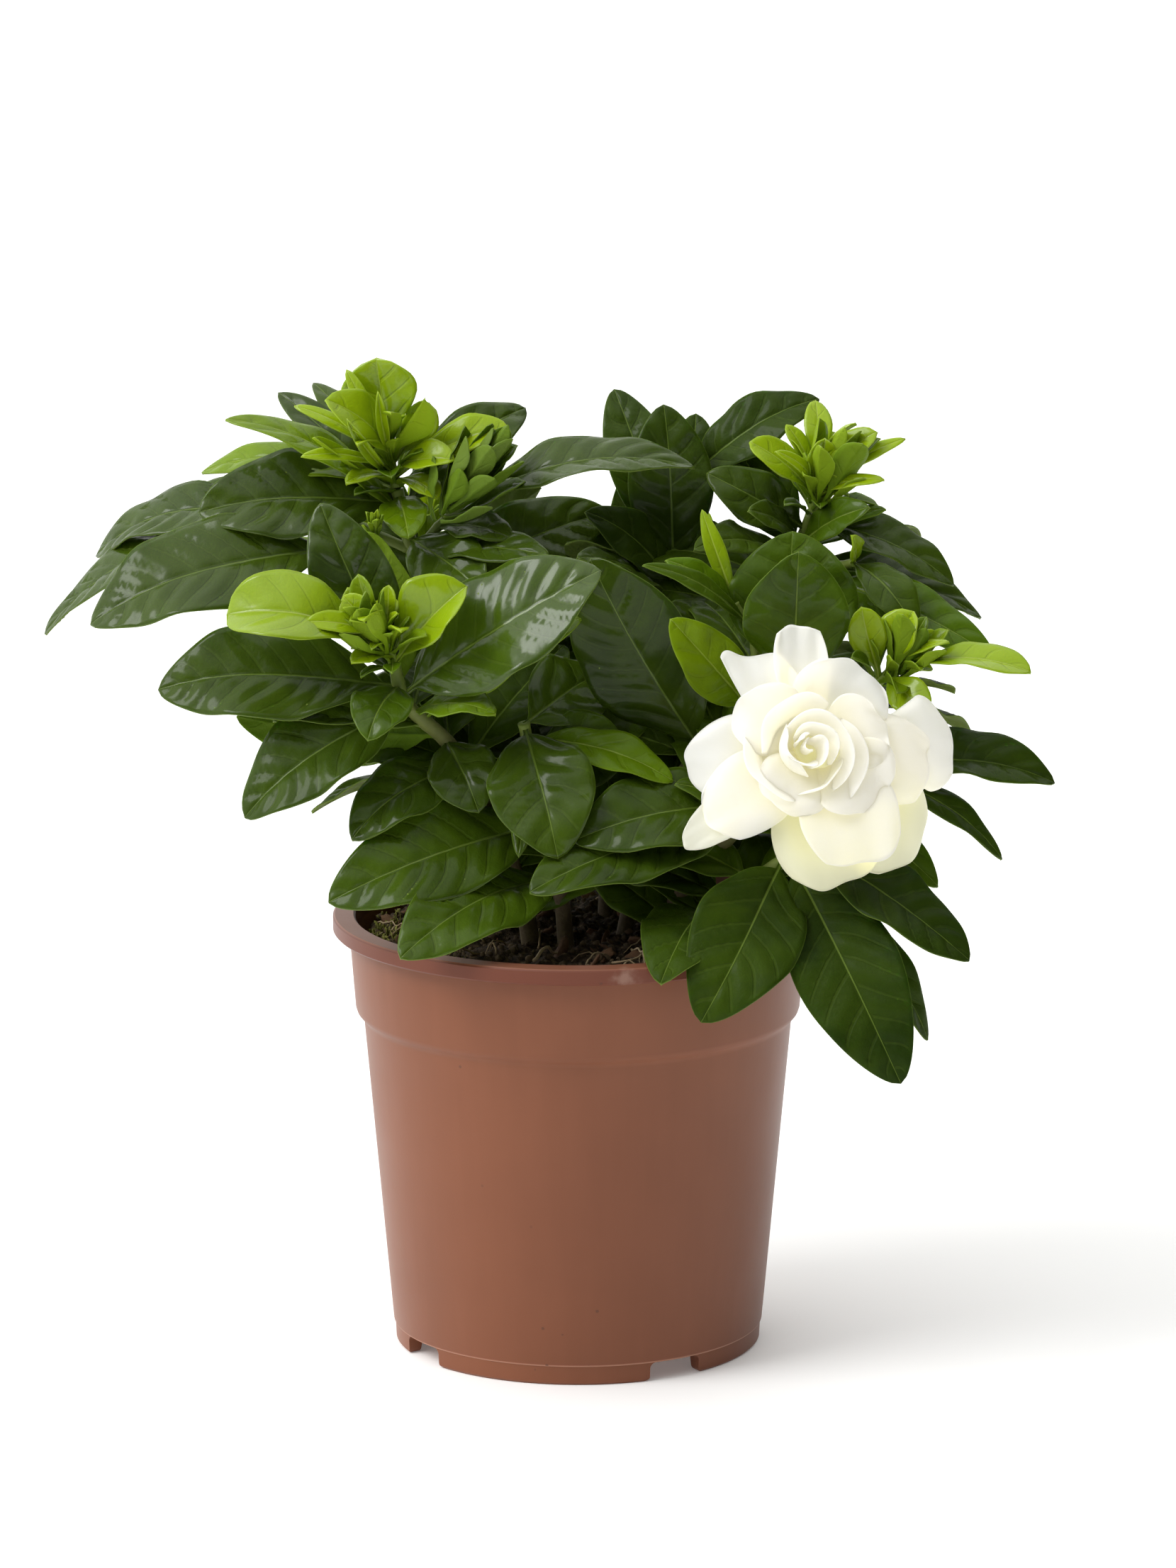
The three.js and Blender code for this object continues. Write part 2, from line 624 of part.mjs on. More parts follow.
function bloomParts() {
  const centre = vector(throat);
  const foot = along(vector(bloomStart), [bloomFace, 5 + seatGap]);
  const core = [foot, centre, along(centre, [bloomFace, 10])];
  const bodies = [tube(core, (t) => 2.2 + 3.4 * t, 8)];
  petals.forEach(([turn, reach, width, forward, cup, rootRadius, rootDepth], index) => {
    const angle = (turn * Math.PI) / 180;
    const out = along(new THREE.Vector3(), [bloomRight, Math.cos(angle)], [bloomUp, Math.sin(angle)]);
    const root = along(centre, [out, rootRadius - 2], [bloomFace, rootDepth]);
    const tip = along(centre, [out, reach], [bloomFace, forward]);
    const round = out.clone().cross(bloomFace);
    bodies.push(blade(root, tip, along(bloomFace, [out, -0.2], [round, petalTilt]), {
      steps: petalSteps,
      halves: reach > 12 ? 2 : 1,
      width,
      stalk: 1.6,
      thick: 0.9,
      outline: petalOutline,
      arch: -cup / 100,
      fold: Math.tan((cup * Math.PI) / 180),
      cup: 0,
      wave: 0.1,
      waves: 1.5,
      phase: index * 1.9,
      round: 0.1,
      blunt: true,
    }));
  });
  return bodies;
}

function calyxParts() {
  const start = vector(bloomStart);
  const ahead = arrow(vector(shoots.shoot_bloom.stems[0].at(-2)), start);
  const foot = along(start, [ahead, seatGap]);
  const cupEnd = along(start, [bloomFace, 4.2]);
  const bodies = [tube([foot, along(foot, [ahead, 1.2]), cupEnd], (t) => 2.2 + 1 * t, 8)];
  for (let i = 0; i < sepalCount; i++) {
    const angle = (i * 2 * Math.PI) / sepalCount + 0.4;
    const out = along(new THREE.Vector3(), [bloomRight, Math.cos(angle)], [bloomUp, Math.sin(angle)]);
    const root = along(start, [bloomFace, 2.5], [out, 2.2]);
    const tip = along(root, [out, 0.8 * sepalReach], [bloomFace, 0.1 * sepalReach]);
    bodies.push(blade(root, tip, along(bloomFace, [out, -0.3]), {
      steps: 2,
      width: 3,
      stalk: 0.8,
      thick: 0.8,
      outline: leafOutline,
      arch: -0.08,
      fold: 0.1,
      cup: 0,
      wave: 0,
      waves: 1,
      phase: 0,
      round: 0,
      blunt: false,
    }));
  }
  return bodies;
}

// The pot wall, turned; then notches between the feet and drain holes are cut.
function potBody() {
  const outline = [
    [skirtRadius - 3, 0],
    [skirtRadius, 0],
    [skirtRadius, skirtHeight],
    [bodyLowRadius, skirtHeight],
    [bodyTopRadius, collarLow - 2],
    [collarLowRadius, collarLow],
    [collarTopRadius, rimTop - rimBand],
    [rimRadius, rimTop - rimBand],
    [rimRadius, rimTop],
    [collarTopRadius - wall, rimTop],
    [collarLowRadius - wall, collarLow],
    [bodyTopRadius - wall, collarLow - 3],
    [bodyLowRadius - wall, floorHeight + floorThick],
    [0, floorHeight + floorThick],
    [0, floorHeight],
    [skirtRadius - 4, floorHeight],
  ];
  let pot = turned(outline, potSides);
  for (let i = 0; i < footCount; i++) {
    const angle = ((footTurn + 45 + i * 90) * Math.PI) / 180;
    const out = new THREE.Vector3(Math.cos(angle), Math.sin(angle), 0);
    const side = new THREE.Vector3(-out.y, out.x, 0);
    const rings = [-1, 3.2, 4.5].map((height, k) => {
      const half = [0.5, 0.5, 0.36][k] * notchWidth;
      return [[35, -half], [50, -half], [50, half], [35, half]].map(([r, s]) =>
        along(new THREE.Vector3(0, 0, height), [out, r], [side, s]));
    });
    pot = pot.subtract(skin(rings));
  }
  const drains = [[0, 0]];
  for (let i = 0; i < footCount; i++) {
    const angle = ((footTurn + i * 90) * Math.PI) / 180;
    drains.push([drainRing * Math.cos(angle), drainRing * Math.sin(angle)]);
  }
  for (const [x, y] of drains) {
    pot = pot.subtract(tube([new THREE.Vector3(x, y, 3), new THREE.Vector3(x, y, 9)], () => drainRadius, 12));
  }
  return pot;
}

// Height of the crumbly soil above its edge, by formula.
function soilLift(radius, height, angle) {
  if (height < soilTop - 5) {
    return 0;
  }
  const x = radius * Math.cos(angle);
  const y = radius * Math.sin(angle);
  const mound = 2.5 * (1 - (radius / 55) ** 2);
  return mound + 0.8 * Math.sin(0.31 * x + 1) * Math.cos(0.27 * y) + 0.5 * Math.sin(0.7 * x - 0.6 * y);
}

function soilBody() {
  const gap = wall + seatGap + 0.35;
  const low = floorHeight + floorThick + seatGap;
  const slope = (collarTopRadius - collarLowRadius) / (rimTop - rimBand - collarLow);
  const edge = collarLowRadius - gap + slope * (soilTop - 1 - collarLow);
  const outline = [
    [0, low],
    [bodyLowRadius - gap, low],
    [bodyTopRadius - gap, collarLow - 3],
    [collarLowRadius - gap, collarLow + 0.2],
    [edge, soilTop - 1],
    [40, soilTop],
    [20, soilTop],
    [0, soilTop],
  ];
  let soil = turned(outline, 24, soilLift);
  for (const { stems, radii } of Object.values(shoots)) {
    const points = stems[0];
    const hole = [0, 0.5, 1].map((t) => stemPoint(points, t));
    const below = along(hole[0], [arrow(hole[1], hole[0]), seatGap]);
    soil = soil.subtract(tube([below, ...hole.slice(1)], () => radii[0] + 0.1 + seatGap));
  }
  return soil;
}

// Parts joined into one body. Slivers left by the joining are smoothed away, and hollows shut in
// between crossing blades are filled by keeping the outer skin alone.
function joined(parts) {
  const skins = Manifold.union(parts).asOriginal().simplify(joinTolerance).decompose();
  return skins.reduce((outer, next) => (next.volume() > outer.volume() ? next : outer));
}

// Surface of a body as a named, coloured mesh.
function toMesh(name, body, colour, roughness) {
  const flat = body.getMesh();
  const geometry = new THREE.BufferGeometry();
  const positions = new Float32Array(flat.numVert * 3);
  for (let i = 0; i < flat.numVert; i++) {
    for (let k = 0; k < 3; k++) {
      positions[3 * i + k] = flat.vertProperties[flat.numProp * i + k];
    }
  }
  geometry.setAttribute("position", new THREE.BufferAttribute(positions, 3));
  geometry.setIndex(Array.from(flat.triVerts));
  geometry.computeVertexNormals();
  const material = new THREE.MeshStandardMaterial({ color: colour, roughness });
  const mesh = new THREE.Mesh(geometry, material);
  mesh.name = name;
  return mesh;
}

const bodies = [
  ["pot", potBody(), 0x8f5a44, 0.45],
  ["soil", soilBody(), 0x2a211b, 0.95],
];
for (const [name, shoot] of Object.entries(shoots)) {
  bodies.push([name, joined(shootParts(shoot)), 0x24400f, 0.35]);
}
for (const [name, tuft] of Object.entries(tufts)) {
  bodies.push([name, joined(tuftParts(tuft)), 0x8fae2c, 0.4]);
}
bodies.push(["calyx", joined(calyxParts()), 0x6f9130, 0.45]);
bodies.push(["bloom", joined(bloomParts()), 0xf4f0dc, 0.5]);

// The object's footprint is centred on the origin.
const group = new THREE.Group();
for (const [name, body, colour, roughness] of bodies) {
  group.add(toMesh(name, body, colour, roughness));
}
const box = new THREE.Box3().setFromObject(group);
const centre = box.getCenter(new THREE.Vector3());
for (const mesh of group.children) {
  mesh.geometry.translate(-centre.x, -centre.y, 0);
}

export default group;
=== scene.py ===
# A young gardenia in its nursery pot: the looks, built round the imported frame. Metres, Z up.
import math
import random

import bmesh
import bpy
import numpy as np
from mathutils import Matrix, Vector, noise


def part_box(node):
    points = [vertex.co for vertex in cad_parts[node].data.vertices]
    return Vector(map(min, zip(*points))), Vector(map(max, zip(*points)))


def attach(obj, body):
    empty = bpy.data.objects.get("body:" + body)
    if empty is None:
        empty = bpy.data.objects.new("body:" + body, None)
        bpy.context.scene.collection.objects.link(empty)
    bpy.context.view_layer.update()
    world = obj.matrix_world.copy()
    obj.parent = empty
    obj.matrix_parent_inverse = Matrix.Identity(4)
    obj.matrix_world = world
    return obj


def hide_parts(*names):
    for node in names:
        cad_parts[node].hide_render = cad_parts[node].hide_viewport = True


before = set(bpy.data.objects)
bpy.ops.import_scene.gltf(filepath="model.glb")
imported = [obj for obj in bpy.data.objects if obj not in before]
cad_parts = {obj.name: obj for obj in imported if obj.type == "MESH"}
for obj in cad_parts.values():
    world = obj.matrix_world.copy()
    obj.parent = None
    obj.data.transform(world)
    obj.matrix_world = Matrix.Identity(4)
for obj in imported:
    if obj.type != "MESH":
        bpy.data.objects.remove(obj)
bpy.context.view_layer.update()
potLow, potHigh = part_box("pot")
potAxis = np.array([(potLow.x + potHigh.x) / 2, (potLow.y + potHigh.y) / 2, 0.0])
print("frame loaded")

mm = 0.001  # the shapes below are in millimetres from the pot's axis, as the plant was measured
seatGap = 0.3  # between a tuft, the calyx or the bloom and what carries it
goldenTurn = 2.4  # from a leaf or leaflet to the next, in radians
luck = random.Random(7)


# Shader sums and nodes

class Wire:  # a shader socket that takes part in Python sums
    def __init__(self, recipe, socket):
        self.recipe = recipe
        self.socket = socket

    def out(self, name):  # another output of the same node
        return Wire(self.recipe, self.socket.node.outputs[name])

    def maths(self, operation, *values):
        return self.recipe.node("ShaderNodeMath", {"operation": operation}, dict(enumerate(values)))

    def __add__(self, other):
        return self.maths("ADD", self, other)

    __radd__ = __add__

    def __sub__(self, other):
        return self.maths("SUBTRACT", self, other)

    def __rsub__(self, other):
        return self.maths("SUBTRACT", other, self)

    def __mul__(self, other):
        return self.maths("MULTIPLY", self, other)

    __rmul__ = __mul__

    def size(self):
        return self.maths("ABSOLUTE", self)

    def part(self):
        return self.maths("FRACT", self)

    def fade(self, start, end, low=0.0, high=1.0):  # goes smoothly from low to high between start and end
        sockets = {"Value": self, "From Min": start, "From Max": end, "To Min": low, "To Max": high}
        return self.recipe.node("ShaderNodeMapRange", {"interpolation_type": "SMOOTHSTEP"}, sockets)


class Recipe:  # the nodes of a material or of the sky
    def __init__(self, owner):
        owner.use_nodes = True
        self.tree = owner.node_tree
        self.tree.nodes.clear()

    def node(self, kind, settings, sockets):
        made = self.tree.nodes.new(kind)
        for key, value in settings.items():
            if key == "stops":
                ramp = made.color_ramp.elements
                while len(ramp) < len(value):
                    ramp.new(0.5)
                for stop, (position, colour) in zip(ramp, value):
                    stop.position = position
                    stop.color = colour
            else:
                setattr(made, key, value)
        for key, value in sockets.items():
            if isinstance(key, int):
                socket = made.inputs[key]
            else:
                socket = next(s for s in made.inputs if s.name == key and s.enabled)
            if isinstance(value, Wire):
                self.tree.links.new(value.socket, socket)
            else:
                socket.default_value = value
        shown = [s for s in made.outputs if s.enabled]
        return Wire(self, shown[0]) if shown else None

    def place(self, kind="Object"):
        return self.node("ShaderNodeTexCoord", {}, {}).out(kind)

    def vector(self, operation, *values):
        return self.node("ShaderNodeVectorMath", {"operation": operation}, dict(enumerate(values)))


class Finish(Recipe):  # a material: values that are even all over, then wires to what varies
    def __init__(self, name, **even):
        self.material = bpy.data.materials.new(name)
        super().__init__(self.material)
        self.surface = self.node("ShaderNodeBsdfPrincipled", {}, even).socket.node
        self.node("ShaderNodeOutputMaterial", {}, {"Surface": Wire(self, self.surface.outputs[0])})

    def set(self, name, wire):
        self.tree.links.new(wire.socket, self.surface.inputs[name])

    def mark(self, name):  # a number kept at the mesh's points
        return self.node("ShaderNodeAttribute", {"attribute_name": name}, {}).out("Fac")

    def along(self):  # 0 at a blade's root, 1 at its tip
        sheet = self.node("ShaderNodeUVMap", {"uv_map": "sheet"}, {})
        return self.node("ShaderNodeSeparateXYZ", {}, {0: sheet})

    def cloud(self, scale, detail=3.0, place=None):
        sockets = {"Vector": place or self.place(), "Scale": scale, "Detail": detail}
        return self.node("ShaderNodeTexNoise", {}, sockets)

    def cells(self, scale, feature="F1"):
        sockets = {"Vector": self.place(), "Scale": scale}
        return self.node("ShaderNodeTexVoronoi", {"feature": feature}, sockets)

    def ramp(self, factor, *stops):
        return self.node("ShaderNodeValToRGB", {"stops": stops}, {"Fac": factor})

    def mix(self, factor, first, second):
        return self.node("ShaderNodeMix", {"data_type": "RGBA"}, {"Factor": factor, "A": first, "B": second})

    def bump(self, height, strength, distance):
        sockets = {"Height": height, "Strength": strength, "Distance": distance}
        self.set("Normal", self.node("ShaderNodeBump", {}, sockets))


def colour(red, green, blue):  # screen values from 0 to 255 as a linear colour
    parts = [((c / 255 + 0.055) / 1.055) ** 2.4 if c > 10 else c / 255 / 12.92 for c in (red, green, blue)]
    return (*parts, 1.0)


# Meshes, gathered patch by patch

markNames = ("fresh", "tone", "gloss", "vein", "reach", "margin", "under")


def addObject(name, data):
    made = bpy.data.objects.new(name, data)
    bpy.context.scene.collection.objects.link(made)
    return made


class Piece:  # patches of points and faces that end as one mesh
    def __init__(self):
        self.points = []
        self.faces = []
        self.flat = []
        self.finish = []
        self.sheet = []
        self.marks = {name: [] for name in markNames}
        self.start = 0
        self.count = 0

    def add(self, points, faces, finish=0, sheet=None, **marks):
        many = len(points)
        self.start = self.count
        self.count += many
        self.points.append(points)
        self.sheet.append(np.zeros((many, 2)) if sheet is None else sheet)
        for name in markNames:
            self.marks[name].append(np.broadcast_to(marks.get(name, 0.0), many))
        self.skin(faces, finish)

    def skin(self, faces, finish=0, flat=False):  # faces between points of the last patch
        self.faces.extend((np.asarray(faces) + self.start).tolist())
        self.flat.extend([flat] * len(faces))
        self.finish.extend([finish] * len(faces))

    def make(self, name, finishes, slot, *nodes):
        mesh = bpy.data.meshes.new(name)
        places = np.concatenate(self.points) * mm + potAxis
        mesh.from_pydata(places.tolist(), [], self.faces)
        mesh.polygons.foreach_set("use_smooth", [not flat for flat in self.flat])
        mesh.polygons.foreach_set("material_index", self.finish)
        corners = np.empty(len(mesh.loops), np.int32)
        mesh.loops.foreach_get("vertex_index", corners)
        sheet = np.concatenate(self.sheet)[corners]
        mesh.uv_layers.new(name="sheet").data.foreach_set("uv", sheet.ravel())
        for mark in markNames:
            values = np.concatenate(self.marks[mark]).astype(np.float32)
            mesh.attributes.new(mark, "FLOAT", "POINT").data.foreach_set("value", values)
        for finish in finishes:
            mesh.materials.append(finish.material)
        mesh.update()
        piece = addObject(name, mesh)
        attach(piece, "root")
        if nodes:
            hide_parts(*nodes)
        return piece


def point(*p):
    return np.array(p, float)


def unit(v):
    return v / np.linalg.norm(v, axis=-1, keepdims=True)


def share(x):  # kept between 0 and 1
    return np.clip(x, 0, 1)


def toward(angle, up=0):  # seen from above, from the right round to the back
    return point(math.cos(angle), math.sin(angle), up)


def ringFaces(rings, sides, closed=False):  # faces between rings of points
    i, j = np.meshgrid(np.arange(rings if closed else rings - 1), np.arange(sides), indexing="ij")
    a, b = i * sides, (i + 1) % rings * sides
    k = (j + 1) % sides
    return np.stack([a + j, a + k, b + k, b + j], -1).reshape(-1, 4)


def tubeRings(places, radii, sides):
    ahead = unit(np.gradient(places, axis=0))
    across = np.where(np.abs(ahead[:, :1]) < 0.9, point(1, 0, 0), point(0, 1, 0))
    first = unit(across - ahead * np.sum(across * ahead, axis=1, keepdims=True))
    second = np.cross(ahead, first)
    angle = np.arange(sides) * 2 * math.pi / sides
    ring = np.cos(angle)[None, :, None] * first[:, None] + np.sin(angle)[None, :, None] * second[:, None]
    return (places[:, None] + ring * radii[:, None, None]).reshape(-1, 3)


def addTube(piece, places, radii, sides, finish=0, fresh=0.0, tone=0.5):
    rings = len(places)
    points = np.vstack([tubeRings(places, radii, sides), places[:1], places[-1:]])
    along = np.append(np.repeat(np.linspace(0, 1, rings), sides), [0, 1])
    across = np.append(np.tile(np.arange(sides) / sides, rings), [0, 0])
    freshAll = np.broadcast_to(fresh, rings)
    marks = np.append(np.repeat(freshAll, sides), [freshAll[0], freshAll[-1]])
    sheet = np.stack([along, across], -1)
    piece.add(points, ringFaces(rings, sides), finish, sheet=sheet, fresh=marks, tone=tone)
    j = np.arange(sides)
    k = (j + 1) % sides
    end = (rings - 1) * sides
    low, high = np.full(sides, rings * sides), np.full(sides, rings * sides + 1)
    piece.skin(np.stack([low, k, j], -1), finish)
    piece.skin(np.stack([high, end + j, end + k], -1), finish)


def curvePoint(points, place):  # a smooth curve through a stem's points, at places counted in points
    points = np.asarray(points, float)
    place = np.atleast_1d(place).astype(float)
    last = len(points) - 1
    i = np.minimum(np.floor(place).astype(int), last - 1)
    t = (place - i)[:, None]
    p = [points[np.clip(i + k, 0, last)] for k in (-1, 0, 1, 2)]
    return (
        (-0.5 * t + t**2 - 0.5 * t**3) * p[0]
        + (1 - 2.5 * t**2 + 1.5 * t**3) * p[1]
        + (0.5 * t + 2 * t**2 - 1.5 * t**3) * p[2]
        + (-0.5 * t**2 + 0.5 * t**3) * p[3]
    )


def smoothCurve(*points):  # short tubes are bent through three points
    return curvePoint(points, np.linspace(0, 2, 13))


# Blades: leaves and sepals, and the closed skins that petals share with them

outlines = {  # how long the stalk is, how far up the blade is widest, how full its lower end and its tip are
    "mature": (0.07, 1, 0.77, 0.15),
    "young": (0.07, 1.65, 0.95, 0.4),
    "spoon": (0, 2.3, 0.9, 0.42),
}


def outline(kind, u):
    stalk, widest, full, fuller = outlines[kind]
    t = share((u - stalk) / (1 - stalk))
    return np.sin(np.pi * t**widest) ** (full - fuller * t)


def addSheet(piece, top, low, along, across, **marks):  # a closed skin round two grids of points
    rows, columns = top.shape[0] - 1, top.shape[1] - 1
    wide = columns + 1
    many = (rows + 1) * wide

    def both(values):
        return np.tile(np.broadcast_to(values, (rows + 1, wide)).ravel(), 2)

    marks = {name: both(values) for name, values in marks.items()}
    sheet = np.stack([both(along), both(0.5 + 0.5 * across)], -1)
    under = np.repeat([0.0, 1.0], many)
    i, j = np.meshgrid(np.arange(rows), np.arange(columns), indexing="ij")
    a = i * wide + j
    quads = np.stack([a, a + wide, a + wide + 1, a + 1], -1).reshape(-1, 4)
    piece.add(np.vstack([top.reshape(-1, 3), low.reshape(-1, 3)]), quads, sheet=sheet, under=under, **marks)
    piece.skin(quads[:, ::-1] + many)
    i = np.arange(rows) * wide
    j = np.arange(columns)
    end = rows * wide
    edges = [
        (i, i + wide), (i[::-1] + wide + columns, i[::-1] + columns),
        (j[::-1] + 1, j[::-1]), (end + j, end + j + 1),
    ]
    for a, b in edges:
        piece.skin(np.stack([b, a, a + many, b + many], -1), flat=True)


def addBlade(piece, root, tip, look, form, **marks):
    arch, phase = form["arch"], form["phase"]
    length = np.linalg.norm(tip - root)
    ahead = (tip - root) / length
    up = unit(look - ahead * np.dot(look, ahead))
    side = np.cross(up, ahead)
    even = np.linspace(0, 1, form["rows"] + 1)[:, None]
    u = 0.6 * even + 0.2 * (1 - np.cos(np.pi * even))  # from root to tip, finer at both ends
    step = np.arange(-form["halves"], form["halves"] + 1) / form["halves"]
    v = (np.sign(step) * np.abs(step) ** 1.25)[None, :]  # from rim to rim, finer at the midrib
    out = np.abs(v)
    slope = 4 * arch * (1 - 2 * u)
    normal = unit(up - slope * ahead)
    middle = root + ahead * length * u + up * 4 * arch * length * u * (1 - u)
    middle = middle + side * length * form["sway"] * np.sin(np.pi * u) * u
    middle = middle - up * length * form["nod"] * share((u - 0.55) / 0.45) ** 2
    turn = form["twist"] * (u - 0.3)
    sideways = side * np.cos(turn) + normal * np.sin(turn)
    upwards = normal * np.cos(turn) - side * np.sin(turn)
    least = np.where(u < 0.5, form["stalk"], form["end"])
    half = np.maximum(least, 0.5 * form["width"] * outline(form["outline"], u))
    reach = out * half
    wave = form["wave"] * v * v * np.sin(2 * np.pi * form["waves"] * u + phase + np.where(v > 0, 2, 0))
    wave = wave + form["ripple"] * out**3 * np.sin(33 * u + 5 * phase + 4 * v)
    rise = reach * form["fold"] * (1 - form["cup"] * out) + half * wave
    vein = form["veins"] * (u - 0.6 * reach / length - 0.06 * v * v) + np.where(v > 0, 0.5, 0.85)
    vein = vein + 0.16 * np.sin(11 * u + phase + 2 * v)
    inside = share(out / 0.15) * share((1 - out) / 0.3) * share((u - 0.1) / 0.1) * share((1 - u) / 0.12)
    quilt = form["quilt"] * (np.abs(np.sin(np.pi * vein)) ** 0.75 - 0.55) * inside
    points = middle[:, None] + sideways[:, None] * (v * half)[..., None]
    points = points + upwards[:, None] * (rise + quilt)[..., None]
    thick = form["thick"] * (1 + 0.8 * np.maximum(0, 1 - u / 0.16)) * (1 - 0.65 * v * v)
    slim = 1.15 - 0.9 * u
    rib = np.exp(-((reach / (0.5 * slim)) ** 2)) * (1 - 0.7 * u)
    top = points + upwards[:, None] * (0.5 * thick - form["groove"] * rib)[..., None]
    low = points - upwards[:, None] * (0.5 * thick + form["keel"] * rib)[..., None]
    addSheet(piece, top, low, u, v, vein=vein, reach=reach / slim, margin=(1 - out) * half, **marks)


# The plant. Each shoot has stems, the first of them the main one, and leaves. A leaf is: stem, place
# along it counted in points, tip x y z, width, where its upper face looks x y z, arch in hundredths
# of its length, fold in degrees, freshness in hundredths. A shoot's look is how glossy its leaves are
# and how much painted shade darkens them (below zero, painted light brightens them), and the shiny
# ones face the lamp.

shoots = {}
shoots["shoot_front_left"] = {
    "radii": (2.4, 1.5),
    "look": (0.65, 0),
    "shiny": (0, 3),
    "stems": [
        [(-10, -13, 86), (-13, -14, 112), (-22, -17, 138), (-31, -21, 154), (-41, -26, 165),
         (-44, -28, 175)],
    ],
    "leaves": [
        (0, 4.2, 4, -38, 201, 30, -1, -3, 2, 5, 10, 14),
        (0, 4.4, -101, -26, 170, 27, 0, -1, 1, 5, 14, 4),
        (0, 4.0, -80, -40, 141, 23, -0.7, -2, 1.3, 8, 14, 8),
        (0, 4.5, -62, -20, 213, 20, -0.5, -2.6, 1.5, -4, 14, 8),
        (0, 4.3, -49, -6, 203, 15, 1, 1.6, 0, 6, 14, 62),
        (0, 4.4, -50, -47, 162, 15, 0, -1, 2, 10, 8, 28),
        (0, 3.8, -20, -42, 167, 14, 0, -1, 2, 8, 10, 58),
        (0, 3.6, 0, -26, 187, 19, -1, -2, 3, 6, 10, 60),
        (0, 3.9, -90, -8, 176, 18, 0.2, -1.6, 0.8, 8, 12, 52),
        (0, 3.2, -82, -12, 158, 17, 0.1, 1.6, -0.8, 8, 12, 48),
        (0, 3.4, -73, -30, 163, 12, 0, -1, 2, 6, 10, 10),
        (0, 2.6, -54, -40, 136, 18, -1, -2, 1, 10, 10, 14),
        (0, 2.0, -50, -20, 142, 18, -1, -2, 1, 8, 10, 46),
        (0, 3.1, -24, -38, 142, 17, 0, -2, 1, 8, 8, 6),
    ],
}
shoots["shoot_upper_left"] = {
    "radii": (2.4, 1.5),
    "look": (0.72, -0.9),
    "stems": [
        [(-17, 8, 86), (-19, 9, 112), (-27, 11, 148), (-37, 11, 182), (-44, 9, 211)],
        [(-36, 11, 180), (-50, 5, 191), (-58, 1, 198)],
        [(-41, 10, 196), (-60, 15, 203), (-73, 14, 204)],
        [(-40, 10, 194), (-34, 8, 202), (-28, 8, 207)],
    ],
    "leaves": [
        (0, 3.8, -92, 2, 207, 24, 0, -1.5, 1.4, 7, 14, 4),
        (1, 2, -118, -12, 184, 28, 0, -2.6, 2.6, 7, 12, 4),
        (2, 2, -131, 14, 175, 17, 0, -0.4, 3, 10, 12, 8),
        (2, 1.7, -119.5, 26, 194, 18, 0, -1, 2, 11, 12, 8),
        (2, 0.9, -100, 30, 205, 12, 0, -1, 2, 8, 10, 10),
        (3, 2, 28, 4, 219, 17, 0, -1, 2, 12, 16, 4),
        (0, 3.75, -13, 26, 229, 16, 0, -1, 1, 12, 12, 8),
        (3, 1, -16, -4, 202, 12, 0, -1, 2, 6, 12, 6),
        (0, 3.4, -7, -12, 199, 13, 0, -1, 2, 5, 12, 10),
        (0, 3.9, -41, -9, 203, 12, 0, -2, 1, 6, 10, 58),
        (0, 3.5, -23, -14, 190, 18, 0, -2, 1, 6, 8, 12),
        (0, 3.7, -73, 24, 233, 11, 0, -1, 1, 8, 16, 4),
        (0, 3.8, -65, 34, 234, 9, 0, -1, 1, 8, 12, 6),
        (0, 3.65, -84, 2, 231, 11, 0, -1, 2, 10, 12, 66),
        (0, 3.95, -92, 20, 216, 12, 0, -1, 2, 11, 12, 66),
        (0, 3.1, 8, 22, 203, 20, 0, -2, 1, 8, 10, 4),
        (1, 1, -76, 16, 178, 20, 0, 0, 1, 8, 12, 10),
        (0, 2.9, -60, 34, 186, 20, -1, 1, 2, 8, 12, 8),
        (0, 1.3, -48, 2, 133, 20, -1, -1, 2, 10, 12, 16),
        (0, 2.2, -68, 12, 156, 22, -1, 0, 3, 12, 12, 10),
    ],
}
shoots["shoot_centre"] = {
    "look": (0.4, 0.5),
    "stems": [
        [(7, 16, 86), (8, 17, 120), (16, 18, 160), (23, 18, 186), (27, 24, 212)],
    ],
    "leaves": [
        (0, 3.1, 21, 18, 230, 21, 0, -3, 1, 4, 10, 4),
        (0, 3.9, 58, 22, 232, 16, 0, -1, 1, 8, 12, 4),
        (0, 3.0, 3, 8, 206, 14, 0, -1, 1, 8, 12, 4),
        (0, 2.8, 1, -4, 198, 14, 0, -1, 2, 8, 10, 6),
        (0, 2.3, -2, 4, 200, 16, 0, 1, 2, 10, 10, 4),
        (0, 2.9, -18, 32, 200, 20, 0, -2, 1, 8, 10, 4),
        (0, 3.9, 29, 30, 226, 10, 0, -1, 1, 4, 12, 6),
        (0, 3.2, 9, 32, 232, 17, 0, -2, 1, 6, 10, 8),
        (0, 3.6, 52, 44, 214, 18, 1, 1, 2, 8, 12, 8),
        (0, 2.4, -22, 34, 182, 20, -1, 1, 2, 10, 12, 8),
        (0, 1.3, -14, -2, 134, 20, 0, -1, 2, 10, 12, 20),
        (0, 1.6, 44, 33, 142, 18, 0, -1, 2, 10, 12, 12),
    ],
}
